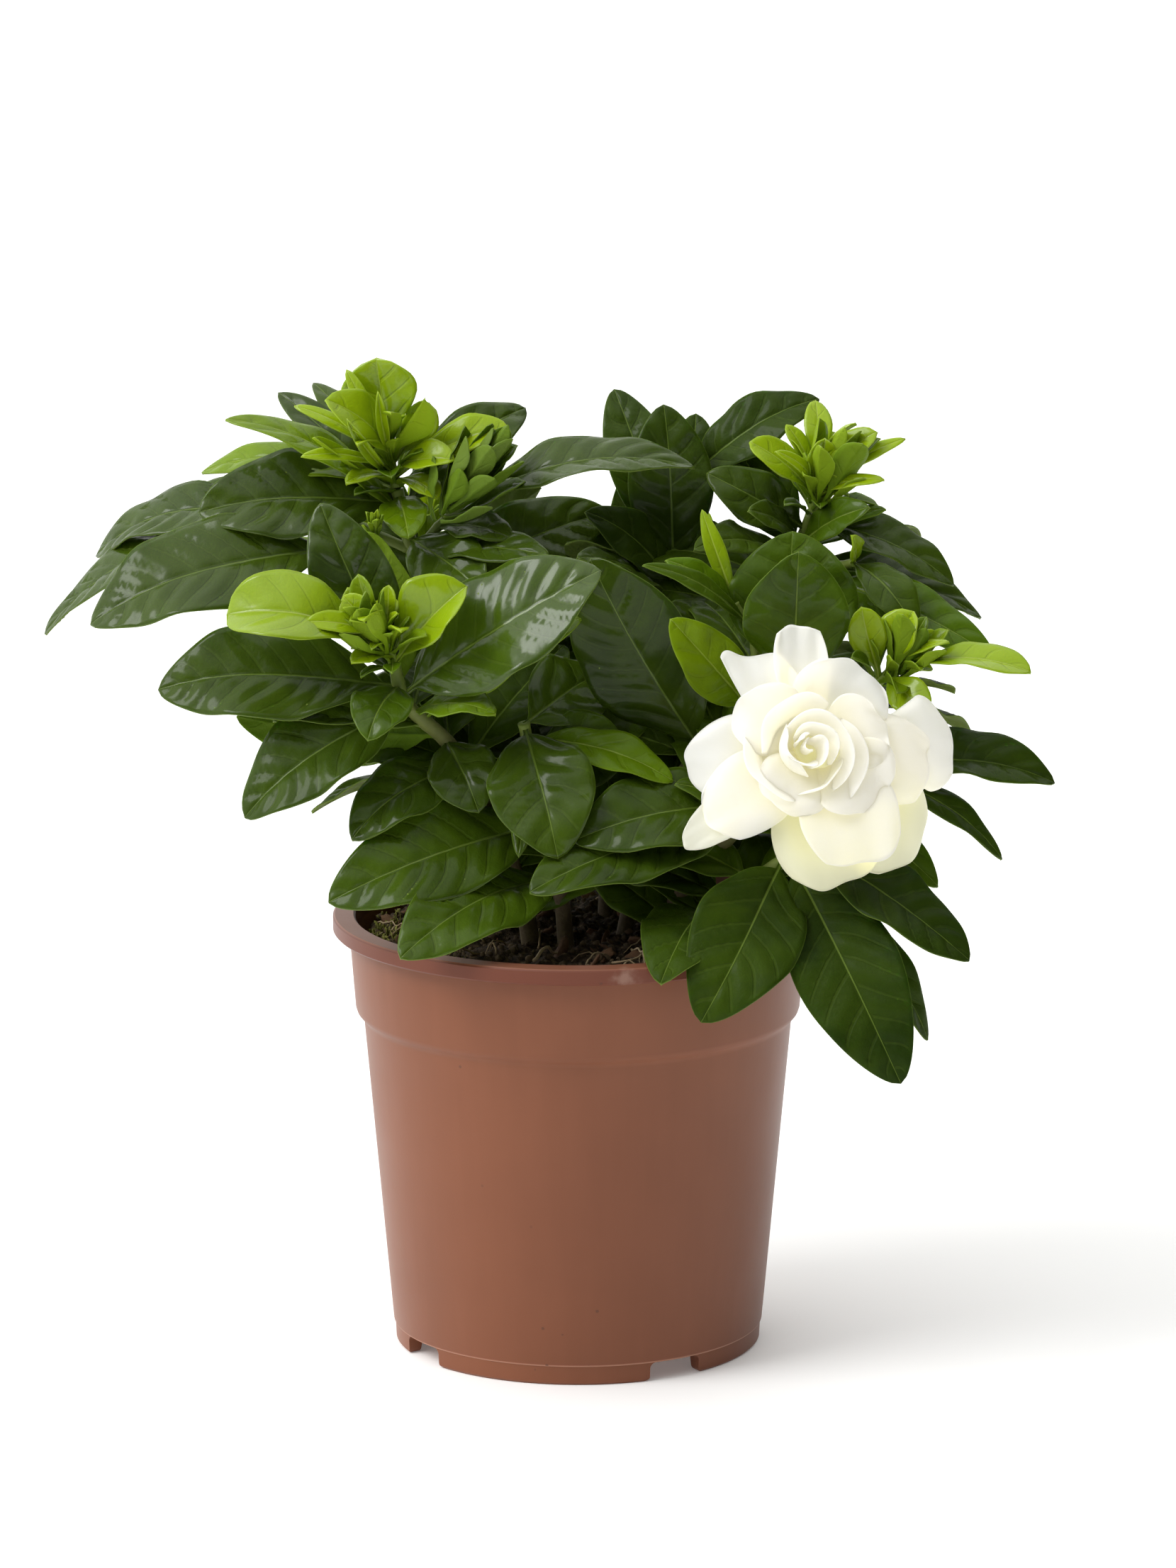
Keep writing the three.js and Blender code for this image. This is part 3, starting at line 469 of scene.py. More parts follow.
shoots["shoot_middle"] = {
    "look": (0.5, -0.1),
    "stems": [
        [(9, -3, 86), (14, -6, 115), (26, -10, 145), (40, -14, 160), (54, -16, 169)],
        [(41, -14, 161), (43, -11, 176), (38, -11, 187)],
    ],
    "leaves": [
        (0, 2.3, 3, -18, 199, 30, -1, -2, 1, 6, 10, 2),
        (0, 3.9, 52, -8, 204, 32, 0, -2, 1, -4, 8, 22),
        (0, 3.8, 53, -23, 201, 26, 0, -2, 1, 4, 8, 22),
        (0, 3.1, 23, -28, 186, 15, 0, -2, 1, 6, 12, 72),
        (1, 1.9, 22, -17, 199, 7, 0, -1, 1, 6, 14, 50),
        (1, 1.4, 17, -27, 200, 6, 0, -1, 1, 8, 12, 20),
        (1, 2, 30, -7, 209, 5, 0, -1, 0, 4, 14, 82),
        (0, 1.4, -4, -14, 126, 18, 0, -1, 2, 10, 12, 16),
    ],
}
shoots["shoot_upper_right"] = {
    "look": (0.5, -0.8),
    "stems": [
        [(19, 11, 86), (24, 12, 120), (38, 15, 160), (50, 16, 186), (57, 14, 204)],
        [(50, 16, 187), (60, 9, 191), (67, 3, 194)],
    ],
    "leaves": [
        (0, 3.7, 32, 10, 215, 14, 0, -2, 1, 8, 12, 4),
        (0, 3.5, 42, -1, 208, 10, 0, -1, 1, 6, 12, 4),
        (0, 3.3, 29, -3, 200, 13, 0, -1, 2, 8, 12, 6),
        (0, 3.4, 70, -2, 209, 11, 0, -1, 1, 6, 16, 32),
        (0, 3.7, 75, 10, 206, 6, 0, -1, 1, 6, 12, 45),
        (0, 3.8, 92, 8, 188, 15, 0, -1, 2, 10, 14, 4),
        (0, 3.4, 38, 26, 221, 16, 0, -2, 1, 6, 10, 6),
        (1, 0.5, 101, -8, 174, 15, 0.3, -2, 2, 8, 12, 38),
        (0, 3.2, 99, 14, 179, 15, 0, -1, 2, 10, 12, 6),
        (1, 1.9, 82, -11, 180, 12, 0, -1, 2, 14, 14, 8),
        (1, 2, 67, -5, 202, 6, 1, -1, 0, 4, 14, 82),
        (0, 3.3, 84, 38, 196, 22, 1, 1, 3, 10, 12, 8),
        (0, 2.9, 44, 52, 186, 20, 0, 1, 2, 10, 12, 8),
        (0, 2.4, 72, 32, 158, 22, 1, 1, 3, 10, 12, 10),
        (0, 1.2, 60, 34, 122, 20, 1, 0, 2, 10, 12, 14),
    ],
}
shoots["shoot_right"] = {
    "look": (0.3, 0.5),
    "stems": [
        [(23, 0, 86), (26, -1, 112), (42, -3, 140), (60, -8, 157), (72, -12, 167)],
        [(42, -3, 140), (58, -4, 143), (70, -5, 144)],
    ],
    "leaves": [
        (1, 2, 116, -8, 144, 17, 0, -1.6, 3, 9, 26, 6),
        (1, 1.8, 104, -14, 126, 9, 0, -1, 2, 10, 12, 10),
        (0, 1.8, 88, -16, 120, 18, 0, -1, 2, 14, 12, 20),
        (0, 3.0, 96, 12, 150, 22, 1, 1, 3, 12, 12, 8),
        (0, 2.4, 80, 30, 132, 22, 1, 1, 3, 12, 12, 10),
        (0, 3.4, 92, 2, 163, 14, 0, 0, 1, 10, 12, 12),
        (0, 1.3, 62, 10, 116, 20, 0, -1, 3, 12, 12, 12),
        (0, 2.1, 84, 4, 136, 20, 0, 0, 1, 12, 12, 10),
    ],
}
shoots["shoot_bloom"] = {
    "radii": (2.2, 1.8),
    "look": (0.5, 0.2),
    "stems": [
        [(17, -14, 86), (20, -16, 108), (34, -21, 128), (46, -26, 143), (52, -32, 151)],
    ],
    "leaves": [
        (0, 2.3, -11, -54, 126, 22, 0, -2, 2, 8, 12, 10),
        (0, 2.7, 0, -46, 138, 23, 0, -2, 2, 8, 12, 10),
        (0, 2.6, 24, -36, 148, 9, 0, -2, 2, 8, 12, 16),
    ],
}
shoots["shoot_low_right"] = {
    "radii": (2.2, 1.4),
    "look": (0.1, 1.3),
    "stems": [
        [(27, -20, 86), (29, -22, 105), (40, -28, 120), (54, -34, 131)],
    ],
    "leaves": [
        (0, 2.6, 30, -64, 97, 27, 0, -3, 1, 12, 8, 10),
        (0, 2.7, 77, -66, 82, 26, 0, -2, 1, 10, 10, 6),
        (0, 3, 94, -50, 108, 19, 1, -2, 2, 8, 12, 6),
        (0, 2.3, 86, -40, 87, 14, 1, -2, 2, 14, 12, 10),
        (0, 1.4, 20, -62, 107, 22, 0, -1, 3, 14, 10, 14),
        (0, 2.9, 84, -24, 117, 10, 0, -1, 1, 12, 14, 55),
    ],
}
shoots["shoot_low_front"] = {
    "radii": (2.2, 1.4),
    "look": (0.6, -0.6),
    "stems": [
        [(-2, -15, 86), (-4, -17, 116), (-9, -20, 140), (-13, -24, 160)],
    ],
    "leaves": [
        (0, 2.9, -5, -50, 134, 26, 0, -3, 1, 8, 10, 8),
        (0, 2.7, 23, -34, 149, 13, 0, -1, 2, 8, 12, 56),
        (0, 2.1, -14, -44, 133, 7, 0, -1, 1, 8, 12, 6),
        (0, 1.7, -59, -46, 122, 25, -0.5, -2.4, 1.3, 10, 12, 14),
        (0, 2.95, 6, -3, 168, 20, 0, -2, 1, 6, 10, 10),
        (0, 2.5, 12, -22, 153, 20, 0, -2, 1, 6, 10, 14),
        (0, 1.1, -42, -60, 111, 24, -1, -3, 2, 12, 10, 14),
    ],
}
shoots["shoot_back_left"] = {
    "look": (0.4, 0),
    "stems": [
        [(-11, 22, 86), (-14, 26, 115), (-26, 37, 150), (-36, 46, 180)],
    ],
    "leaves": [
        (0, 2.6, -74, 66, 188, 22, -1, 1, 2, 8, 12, 6),
        (0, 2.8, -10, 62, 202, 22, 0, 1, 1, 8, 12, 6),
        (0, 2.5, -84, 38, 168, 24, -1, 1, 3, 12, 12, 8),
        (0, 2.4, -44, 86, 160, 24, 0, 2, 2, 12, 12, 8),
        (0, 1.9, -74, 52, 134, 24, -1, 1, 2, 12, 12, 10),
        (0, 1.7, -20, 76, 134, 22, 0, 2, 2, 12, 12, 10),
        (0, 1.4, -66, 28, 128, 22, -1, 0, 2, 12, 12, 12),
        (0, 2.2, 4, 70, 172, 22, 1, 2, 2, 10, 12, 8),
        (0, 2.7, -50, 30, 218, 18, -1, -1, 0, 6, 12, 6),
    ],
}
shoots["shoot_back_right"] = {
    "look": (0.4, 0),
    "stems": [
        [(12, 27, 86), (14, 31, 115), (20, 42, 145), (24, 52, 172)],
    ],
    "leaves": [
        (0, 2.6, 58, 74, 180, 22, 1, 1, 2, 8, 12, 6),
        (0, 2.8, -6, 82, 188, 22, 0, 1, 2, 8, 12, 6),
        (0, 2.5, 64, 62, 150, 24, 1, 1, 3, 12, 12, 8),
        (0, 2.3, 18, 92, 142, 24, 0, 2, 2, 12, 12, 8),
        (0, 1.8, 62, 48, 122, 24, 1, 1, 2, 12, 12, 10),
        (0, 1.6, 16, 74, 112, 22, 0, 2, 2, 12, 12, 10),
        (0, 1.9, -12, 74, 142, 22, -1, 2, 2, 10, 12, 10),
        (0, 2.6, 14, 38, 214, 17, 0, 1, 0, 6, 12, 8),
    ],
}

# Fresh pale tufts: the shoot that carries it, the top of its stub, then leaflets as the place along
# the stub, tip x y z, width, where the upper face looks x y z, arch and fold. A bud is a cluster of
# small folded leaflets at a growing tip: foot, top, how many, how long and how fresh they are.
tufts = {}
tufts["tuft_front_left"] = {
    "shoot": "shoot_front_left",
    "top": (-46, -33, 184),
    "buds": [((-46, -33, 179), (-55, -36, 193.5), 12, 15, 0.72)],
    "leaves": [
        (0.1, -83, -34, 190, 20, 0.2, -1.5, 1.5, 19, 22),
        (0.0, -27, -36, 196, 17, -0.8, -2, 1, 6, 34),
        (0.9, -56, -34, 193, 8, 0, -1, 0, 8, 20),
        (0.8, -64, -40, 189, 6, 1, -1, 1, 10, 20),
        (0.9, -51, -43, 190, 6, 0, 1, 1, 12, 20),
        (0.8, -46, -25, 191, 7, 0, -1, 0, 8, 20),
        (0.5, -42, -43, 187, 5, 0, 1, 1, 12, 14),
        (0.3, -54, -38, 178, 6, 0, -1, 2, 8, 10),
    ],
}
tufts["tuft_upper_left"] = {
    "shoot": "shoot_upper_left",
    "top": (-46, 6, 222),
    "buds": [((-34, -2, 205), (-16, -4, 229), 17, 17, 0.38), ((-49, -6, 203), (-49, -9, 209), 9, 4.5, 0.7)],
    "leaves": [
        (0.8, -49, 8, 243.5, 19, -0.7, -2.3, 1.5, -6, 12),
        (0.6, -60, -6, 236, 13, 0, -1, 1, 14, 16),
        (0.6, -36, 11, 232, 9, 0, -1, 0, 10, 24),
        (0.3, -17, 1, 228, 11, 0, -1, 1, 8, 20),
        (0.9, -56, 6, 241, 4, 0, -1, 0, 10, 10),
        (0.5, -68, 4, 233, 4, 0, -1, 1, 12, 10),
        (0.4, -66, -8, 223, 4, 0, -1, 1, 10, 10),
        (0.5, -53, -12, 227, 4, 0, 1, 1, 10, 10),
        (0.7, -45, -9, 234, 5, 0, 1, 1, 10, 10),
        (0.2, -56, -4, 215, 6, 0, -1, 2, 12, 10),
        (0.2, -34, -4, 212, 8, 0, -1, 2, 12, 14),
        (0.4, -30, -4, 221, 9, 0, -1, 1, 12, 26),
        (0.7, -36, -6, 236, 7, 1, -0.4, 1, -8, 55),
        (0.6, -48, -8, 237, 3, 0, -1, 0, 4, 45),
        (0.3, -55, -11, 231, 3, 0, -1, 0, 10, 45),
        (0.2, -62, -9, 228, 3.5, 0, -1, 1, -10, 45),
    ],
}
tufts["tuft_upper_right"] = {
    "shoot": "shoot_upper_right",
    "top": (59, 12, 212),
    "buds": [((59, 10, 207), (67, 6, 227), 10, 18, 0.7)],
    "leaves": [
        (0.7, 60, 6, 224, 8, 0, -1, 0, 8, 20),
        (0.6, 72, 6, 226, 9, -1, -1, 1, 8, 18),
        (0.9, 67, 13, 227, 5, -1, 0, 1, 14, 16),
        (0.6, 79, 9, 224, 4, 0, -1, 1, 12, 10),
        (0.4, 74, 2, 215, 4, 0, -1, 1, 16, 10),
        (0.4, 49, 1, 222, 4, 0, -1, 1, 14, 10),
        (0.8, 51, 15, 226, 5, 1, -1, 0, 6, 10),
        (0.9, 58, 22, 231, 7, 0, -1, 0, 6, 10),
        (0.5, 42, 8, 223, 9, 0, -1, 1, 10, 18),
        (0.5, 62, 26, 222, 8, 0, 1, 1, 10, 16),
    ],
}
tufts["tuft_right"] = {
    "shoot": "shoot_right",
    "top": (77, -14, 172),
    "buds": [((77, -15, 169), (83, -16, 185), 9, 16, 0.65)],
    "leaves": [
        (0.2, 68.5, -17, 187, 9.5, 0.2, -2, 0.5, 4, 14),
        (0.9, 81, -17, 186, 11, -1, -2, 1, 10, 24),
        (0.6, 109, -24, 173, 11, 0, -1, 3, 10, 16),
        (0.7, 89, -22, 180, 4, 0, -1, 2, 8, 10),
        (0.4, 84, -27, 163, 10, 0, -2, 1, 14, 10),
        (0.5, 86, -2, 178, 8, 0, 1, 2, 12, 16),
    ],
}
tufts["tuft_back_left"] = {
    "shoot": "shoot_back_left",
    "top": (-38, 49, 188),
    "buds": [((-38, 49, 188), (-40, 52, 203), 12, 9, 0.75)],
    "leaves": [
        (0.7, -34, 58, 204, 9, 0, 1, 1, 10, 20),
        (0.7, -50, 54, 203, 9, -1, 1, 1, 10, 20),
        (0.5, -58, 46, 198, 10, -1, 1, 2, 12, 16),
        (0.5, -30, 68, 190, 10, 0, 1, 1, 12, 16),
        (0.9, -41, 48, 206, 5, 0, -1, 0, 6, 12),
    ],
}
tufts["tuft_back_right"] = {
    "shoot": "shoot_back_right",
    "top": (25, 55, 180),
    "buds": [((25, 55, 180), (24, 58, 195), 12, 9, 0.75)],
    "leaves": [
        (0.7, 30, 64, 197, 9, 1, 1, 1, 10, 20),
        (0.7, 12, 62, 195, 9, -1, 1, 1, 10, 20),
        (0.5, 44, 58, 190, 10, 1, 1, 2, 12, 16),
        (0.5, 20, 76, 182, 10, 0, 1, 1, 12, 16),
        (0.9, 26, 53, 198, 5, 0, -1, 0, 6, 12),
    ],
}

# What all blades share, in millimetres where it is a size, and what differs with age.
leafForm = {
    "thick": 0.75,
    "stalk": 0.7,
    "end": 0.1,
    "waves": 2.4,
    "ripple": 0.02,
    "groove": 0.25,
    "keel": 0.5,
}
mature = {"outline": "mature", "cup": 0.25, "wave": 0.11}
young = {"outline": "young", "cup": 0, "wave": 0.08}
spoonWidth = 19.5  # a young leaf that is wider has the outline of a spoon
stemForm = {  # radii from foot to end, and how much thicker a joint is
    "sides": 10,
    "steps": 10,
    "main": (2.2, 1.3),
    "twig": (1.3, 1.1),
    "stub": (1.4, 1.1),
    "joint": 0.16,
}
innerLeaves = {  # the space that they may fill, and how high the crown is over them
    "from": 0.9,
    "step": 0.42,
    "rise": (0.0, 0.9),
    "length": (28, 42),
    "width": (15, 21),
    "space": ((-58, 78), (-12, 62), (122, 200)),
    "crown": 208,
}

# The leaflets that hide a tuft's stub, and how a leaflet differs from a leaf.
crowd = {"count": 15, "length": (9, 17), "slim": (0.3, 0.46), "lean": (68, 30), "fresh": (0.45, 0.9)}
leaflet = {"rows": 14, "halves": 4, "stalk": 0.5, "thick": 0.6, "groove": 0.1, "keel": 0.15}


def bladeForm(length, width, arch, fold, index, kind):
    if kind == young and width > spoonWidth:
        kind = young | {"outline": "spoon"}
    return leafForm | kind | {
        "rows": int(max(14, min(44, length * 0.78))),
        "halves": 10 if width > 12 else 7 if width > 7 else 5,
        "width": width,
        "arch": arch / 100,
        "fold": math.tan(math.radians(fold)),
        "phase": index * goldenTurn,
        "veins": max(4, round(length / 6.8)),
        "quilt": min(1.15, 0.06 * width) * (1 if kind == mature else 0.4),
        "sway": luck.uniform(-0.04, 0.04),
        "nod": luck.uniform(0.01, 0.08),
        "twist": math.radians(luck.uniform(-16, 16)),
    }


def addLeaf(piece, root, row, index, kind, gloss, shade=0):
    x, y, z, width, faceX, faceY, faceZ, arch, fold, fresh = row
    tip = point(x, y, z)
    form = bladeForm(np.linalg.norm(tip - root), width, arch, fold, index, kind)
    look = point(faceX, faceY, faceZ)
    gloss = share(gloss + luck.uniform(-0.15, 0.15))
    # the tone mark holds the leaf's random tone plus the shoot's painted shade (below zero, painted light)
    addBlade(piece, root, tip, look, form, fresh=fresh / 100, tone=luck.random() + shade, gloss=gloss)


def addInnerLeaves(piece, stem):  # the short dark leaves inside the crown
    for place in np.arange(innerLeaves["from"], len(stem) - 1.5, innerLeaves["step"]):
        root = curvePoint(stem, place)[0]
        start = luck.uniform(0, 2 * math.pi)
        for k in range(3):
            ahead = unit(toward(start + k * 2 * math.pi / 3, luck.uniform(*innerLeaves["rise"])))
            tip = root + ahead * luck.uniform(*innerLeaves["length"])
            inside = all(low < p < high for p, (low, high) in zip(tip, innerLeaves["space"]))
            if not inside or tip[2] > innerLeaves["crown"] - 0.5 * abs(tip[0]):
                continue
            width = luck.uniform(*innerLeaves["width"])
            row = (*tip, width, 0.3 * ahead[0], 0.3 * ahead[1] - 0.5, 1, 9, 12, luck.uniform(2, 24))
            addLeaf(piece, root, row, k, mature, 0.3)


def makeShoot(name, shoot):
    piece = Piece()
    for i, points in enumerate(shoot["stems"]):
        start, end = stemForm["twig"] if i else shoot.get("radii", stemForm["main"])
        steps = stemForm["steps"] * (len(points) - 1)
        t = np.linspace(0, 1, steps + 1)
        places = curvePoint(points, t * (len(points) - 1))
        joints = np.exp(-(((t * steps / 5 + 0.5) % 1 - 0.5) / 0.13) ** 2)
        radii = start + (end - start) * t + stemForm["joint"] * joints
        fresh = 0.8 if i else share((t - 0.35) * 1.4)
        addTube(piece, places, radii, stemForm["sides"], 1, fresh, luck.random())
    # shade is painted shade that darkens this shoot's leaves, and painted light where it is below zero
    gloss, shade = shoot["look"]
    for index, (stem, place, *row) in enumerate(shoot["leaves"]):
        root = curvePoint(shoot["stems"][stem], place)[0]
        shine = gloss + 0.3 * (index in shoot.get("shiny", ()))
        addLeaf(piece, root, row, index, mature, shine, shade)
    addInnerLeaves(piece, shoot["stems"][0])
    piece.make(name.replace("shoot", "leaves"), (leafFinish, stemFinish), "leaf", name)


def spiral(foot, top, count, turn=0.0):  # for each leaflet: how far up, along the stem, away from it
    axis = unit(top - foot)
    first = unit(np.cross(axis, point(0, 1, 0.2)))
    second = np.cross(axis, first)
    for i in range(count):
        angle = i * goldenTurn + turn
        yield i, i / (count - 1), axis, first * math.cos(angle) + second * math.sin(angle)


def addLeaflet(piece, root, ahead, look, length, width, arch, index, fresh):
    form = bladeForm(length, width, arch, 24, index, young) | leaflet
    addBlade(piece, root, root + length * ahead, look, form, fresh=fresh, tone=0.2, gloss=0.7)


def addBud(piece, foot, top, count, size, fresh):
    foot, top = point(*foot), point(*top)
    height = np.linalg.norm(top - foot)
    for i, t, axis, out in spiral(foot, top, count):
        lean = math.radians(40 - 34 * t + luck.uniform(-8, 8))
        length = size * (0.7 + 0.5 * math.sin(math.pi * (0.15 + 0.75 * t))) * luck.uniform(0.8, 1.2)
        root = foot + axis * max(0, height - length) * t + out * 0.6
        ahead = axis * math.cos(lean) + out * math.sin(lean) * 0.8
        shade = fresh + luck.uniform(-0.12, 0.16)
        width = length * luck.uniform(0.3, 0.42)
        addLeaflet(piece, root, ahead, 0.4 * axis - out, length, width, luck.uniform(-12, 2), i, shade)


def addCrowd(piece, foot, top):
    (steep, flat), (low, high) = crowd["lean"], crowd["fresh"]
    for i, t, axis, out in spiral(foot, top, crowd["count"], 0.7):
        lean = math.radians(steep + (flat - steep) * t)
        length = luck.uniform(*crowd["length"]) * (1 - 0.2 * t)
        ahead = axis * math.cos(lean) + out * math.sin(lean)
        shade = low + (high - low) * t + luck.uniform(-0.1, 0.1)
        width = length * luck.uniform(*crowd["slim"])
        root = foot + (top - foot) * t + out * 0.7
        addLeaflet(piece, root, ahead, axis - 0.3 * out, length, width, luck.uniform(-4, 12), i, shade)


def makeTuft(name, tuft):
    piece = Piece()
    before, start = (point(*p) for p in shoots[tuft["shoot"]]["stems"][0][-2:])
    end = point(*tuft["top"])
    ahead = unit(start - before)
    foot = start + ahead * (seatGap + 0.1)
    places = smoothCurve(foot, foot + 1.5 * ahead, end)
    radii = np.linspace(*stemForm["stub"], len(places))
    addTube(piece, places, radii, stemForm["sides"], 1, 1.0, luck.random())
    for index, (place, *row) in enumerate(tuft["leaves"]):
        freshness = luck.uniform(86, 100)
        addLeaf(piece, start + (end - start) * place, (*row, freshness), index, young, 0.85)
    addCrowd(piece, start, end)
    for bud in tuft["buds"]:
        addBud(piece, *bud)
    piece.make(name + "_leaves", (leafFinish, stemFinish), "young_leaf", name)


# Leaf and stem finishes

leafColours = {
    "old": colour(55, 72, 13),
    "deep": colour(33, 49, 9),
    "middle": colour(79, 108, 6),
    "new": colour(146, 172, 12),
    "ribOld": colour(118, 142, 62),
    "ribNew": colour(186, 204, 90),
    "underOld": colour(112, 128, 64),
    "underMiddle": colour(92, 118, 30),
    "underNew": colour(142, 168, 30),
}


def makeLeafFinish():
    f = Finish("leaf", **{
        "Specular IOR Level": 0.04,
        "Coat Roughness": 0.18,
        "Subsurface Weight": 0.1,
        "Subsurface Radius": (0.5, 1.0, 0.08),
        "Subsurface Scale": 0.0012,
    })
    fresh, tone, gloss, vein, reach, margin, under = [f.mark(name) for name in markNames]

    def aged(old, middle, new):  # from an old leaf to a fresh one, whose base stays darker: partly its own olive, partly painted shade
        green = f.ramp(fresh, (0, leafColours[old]), (0.5, leafColours[middle]), (1, leafColours[new]))
        return f.mix(base, green, leafColours["middle"])

    base = f.along().fade(0.05, 0.75, 0.75, 0.0) * fresh
    upper = aged("old", "middle", "new")
    lower = aged("underOld", "underMiddle", "underNew")
    # patches of darker deep green: random ones of the leaf's own tone, and painted shade carried in the tone
    # mark from the shoot's look
    patches = f.cloud(90.0, 2.0).fade(0.3, 0.7, 0.0, 0.45) + tone * 0.3
    shade = f.mix(patches * (1 - fresh), upper, leafColours["deep"])
    away = ((vein + 0.5).part() - 0.5).size()
    line = away.fade(0.03, 0.09, 1.0, 0.0) * reach.fade(0.2, 1.0) * margin.fade(0.3, 2.5)
    rib = reach.fade(0.16, 0.42, 1.0, 0.0)
    edge = margin.fade(0.0, 0.3, 1.0, 0.0)
    ribShade = f.mix(fresh, leafColours["ribOld"], leafColours["ribNew"])
    shade = f.mix(line * 0.05 + rib * 0.42 + edge * 0.22, shade, ribShade)
    f.set("Base Color", f.mix(under, shade, lower))
    f.set("Roughness", 0.42 - 0.1 * gloss + 0.12 * f.cloud(400.0, 2.0) + 0.12 * under)
    f.set("Coat Weight", (0.02 + 0.7 * gloss * gloss) * (1 - 0.8 * under))
    net = f.cells(900.0, "DISTANCE_TO_EDGE").fade(0.0, 0.25)
    puckers = f.cloud(230.0, 2.0) * (1.3 - 0.6 * fresh)
    height = net * 0.1 + f.cloud(700.0, 3.0) * 0.3 + puckers - line * 0.7 - rib * 0.5 * (1 - under)
    f.bump(height, 0.55, 0.0004)
    return f


def makeStemFinish():
    f = Finish("stem", **{"Specular IOR Level": 0.4})
    fresh = f.mark("fresh")
    bark = f.mix(f.cloud(500.0, 4.0), colour(66, 54, 38), colour(112, 98, 70))
    green = f.mix(f.cloud(260.0, 2.0), colour(96, 122, 40), colour(132, 150, 60))
    f.set("Base Color", f.mix(fresh, bark, green))
    f.set("Roughness", 0.75 - 0.25 * fresh)
    f.bump(f.cloud(1200.0, 4.0) * (1.2 - fresh), 0.6, 0.0003)
    return f


leafFinish = makeLeafFinish()
stemFinish = makeStemFinish()
for name, shoot in shoots.items():
    makeShoot(name, shoot)
for name, tuft in tufts.items():
    makeTuft(name, tuft)
print("leaves grown")


# The bloom. A petal is: angle round the face in degrees, reach, width, how far forward its end and
# its root lie, how far it arches forward, how it cups, how far its rim curls back, the place of a
# point on its rim from -1 to 1, how far that stands out and how wide it is, how blunt the end is,
# where the petal is widest, how straight its sides are and how green.

bloomStart = point(52, -32, 151)
throat = point(55, -45, 157)
petals = [
    (0.5, 36.6, 24, -1, 0, 3.0, 0.20, 2.5, 0, 0, 1, 0, 0.76, 0.9, 0),
    (-43.5, 35.6, 27, -7, -3, 1.5, 0.20, 2.0, 0, 0, 1, 0, 0.60, 0, 0.8),
    (-79, 32.4, 30, -3, -1, 2.5, 0.25, 1.5, 0, 0, 1, 0, 0.55, 0, 0.8),
    (-146.5, 37.7, 11.5, -1, -1, 2.0, 0.30, 2.5, 0, 0, 1, 0, 0.55, 0, 0.35),
    (-148, 30.8, 19.5, 3, 1, 2.5, 0.20, 2.5, 0, 0, 1, 0.1, 0.55, 0, 0),
    (180, 30.3, 20, 1, 0, 3.0, 0.20, 2.5, 0, 0, 1, 0, 0.55, 0, 0),
    (114.5, 26.6, 15, 0, -1, 2.0, 0.20, 1.5, 0.9, 5.8, 0.7, 0.4, 0.55, 0, 0),
    (90, 30.6, 13, 1, 0, 1.0, 0.20, -2.5, 0.4, 0.8, 0.5, 0.3, 0.70, 0, 0),
    (-10, 29.0, 22, 4, 3, 2.5, 0.20, 3.0, 0.8, 1.5, 0.4, 0.2, 0.60, 0, 0),
    (-67, 28.3, 25, 6, 2, 2.5, 0.20, 1.5, 0.4, 3.2, 0.6, 0.3, 0.60, 0, 0),
    (58, 23.0, 24, 9, 3, -1.0, 0.30, 2.0, 0, 0, 1, 0, 0.55, 0, 0),
    (143, 21.2, 19, 6, 3, 1.5, 0.25, 2.0, 0, 0, 1, 0, 0.55, 0, 0),
    (-44, 19.8, 22, 9, 5, 1.5, 0.30, 2.5, 0, 0, 1, 0, 0.55, 0, 0),
    (-128, 18.0, 18, 9, 5, 1.0, 0.30, 2.5, 0, 0, 1, 0, 0.55, 0, 0),
    (15, 18.0, 19, 10, 5, 0.5, 0.30, 2.0, 0, 0, 1, 0, 0.55, 0, 0),
]

# The inner petals wrap round the throat like a pinwheel: angle, how far each reaches round to both
# sides, how far out, how much further out at its clockwise end, the depths where it starts and
# ends, and how far its rim leans outward.
coils = [
    (45, 105, 8.8, 2.2, 5, 15.0, 0.8),
    (195, 72, 7.8, 0.8, 5, 15.6, -2.2),
    (50, 88, 5.5, 1.1, 6, 16.6, 0.6),
    (0, 88, 3.5, 1.2, 7, 17.0, 0.3),
    (125, 36, 4.0, 0.0, 8, 18.0, -1.0),
    (-58, 50, 10.8, 1.2, 4, 13.5, -1.8),
    (245, 62, 4.6, 1.0, 6, 16.4, 0.6),
    (200, 120, 1.6, 0.8, 8, 16.6, 0.0),
    (212, 50, 12.0, 2.0, 3, 11.0, 2.5),
    (118, 60, 11.5, 1.5, 3, 12.5, 1.5),
    (-12, 56, 12.3, 1.5, 3, 11.5, 2.4),
]
coilShift = (-2.8, -1.2)
petalForm = {
    "rows": 40,
    "columns": 32,
    "root": 1.5,
    "claw": 0.22,
    "rim": 0.7,
    "thick": 0.6,
    "frill": 0.35,
    "scallop": 0.6,
}
# A coil is narrower at its foot, waves along its rim and drops at its two ends.
coilForm = {"rows": 24, "columns": 40, "foot": 0.55, "wave": 0.3, "drop": 0.5}
cupForm = {"sides": 20, "from": 2.2, "to": 5.6, "high": 10}  # what holds the petals together
calyxForm = {
    "sides": 16,
    "from": 2.2,
    "to": 3.2,
    "high": 4.2,
    "sepals": 5,
    "turn": 0.4,
    "seat": (2.2, 2.5),
    "length": 12,
    "width": 3,
    "forward": 1.5,
}
petalColours = {
    "inner": colour(229, 226, 214),
    "outer": colour(226, 222, 204),
    "deep": colour(224, 216, 158),
    "fresh": colour(248, 243, 180),
    "under": colour(228, 226, 192),
}
bloomFace = unit(throat - bloomStart)
bloomRight = unit(-np.cross(bloomFace, point(0, 0, 1)))
bloomRight = bloomRight * np.sign(bloomRight[0])
bloomUp = np.cross(bloomRight, bloomFace)
bloomUp = bloomUp * np.sign(bloomUp[2])


def around(angle):
    return np.cos(angle)[..., None] * bloomRight + np.sin(angle)[..., None] * bloomUp


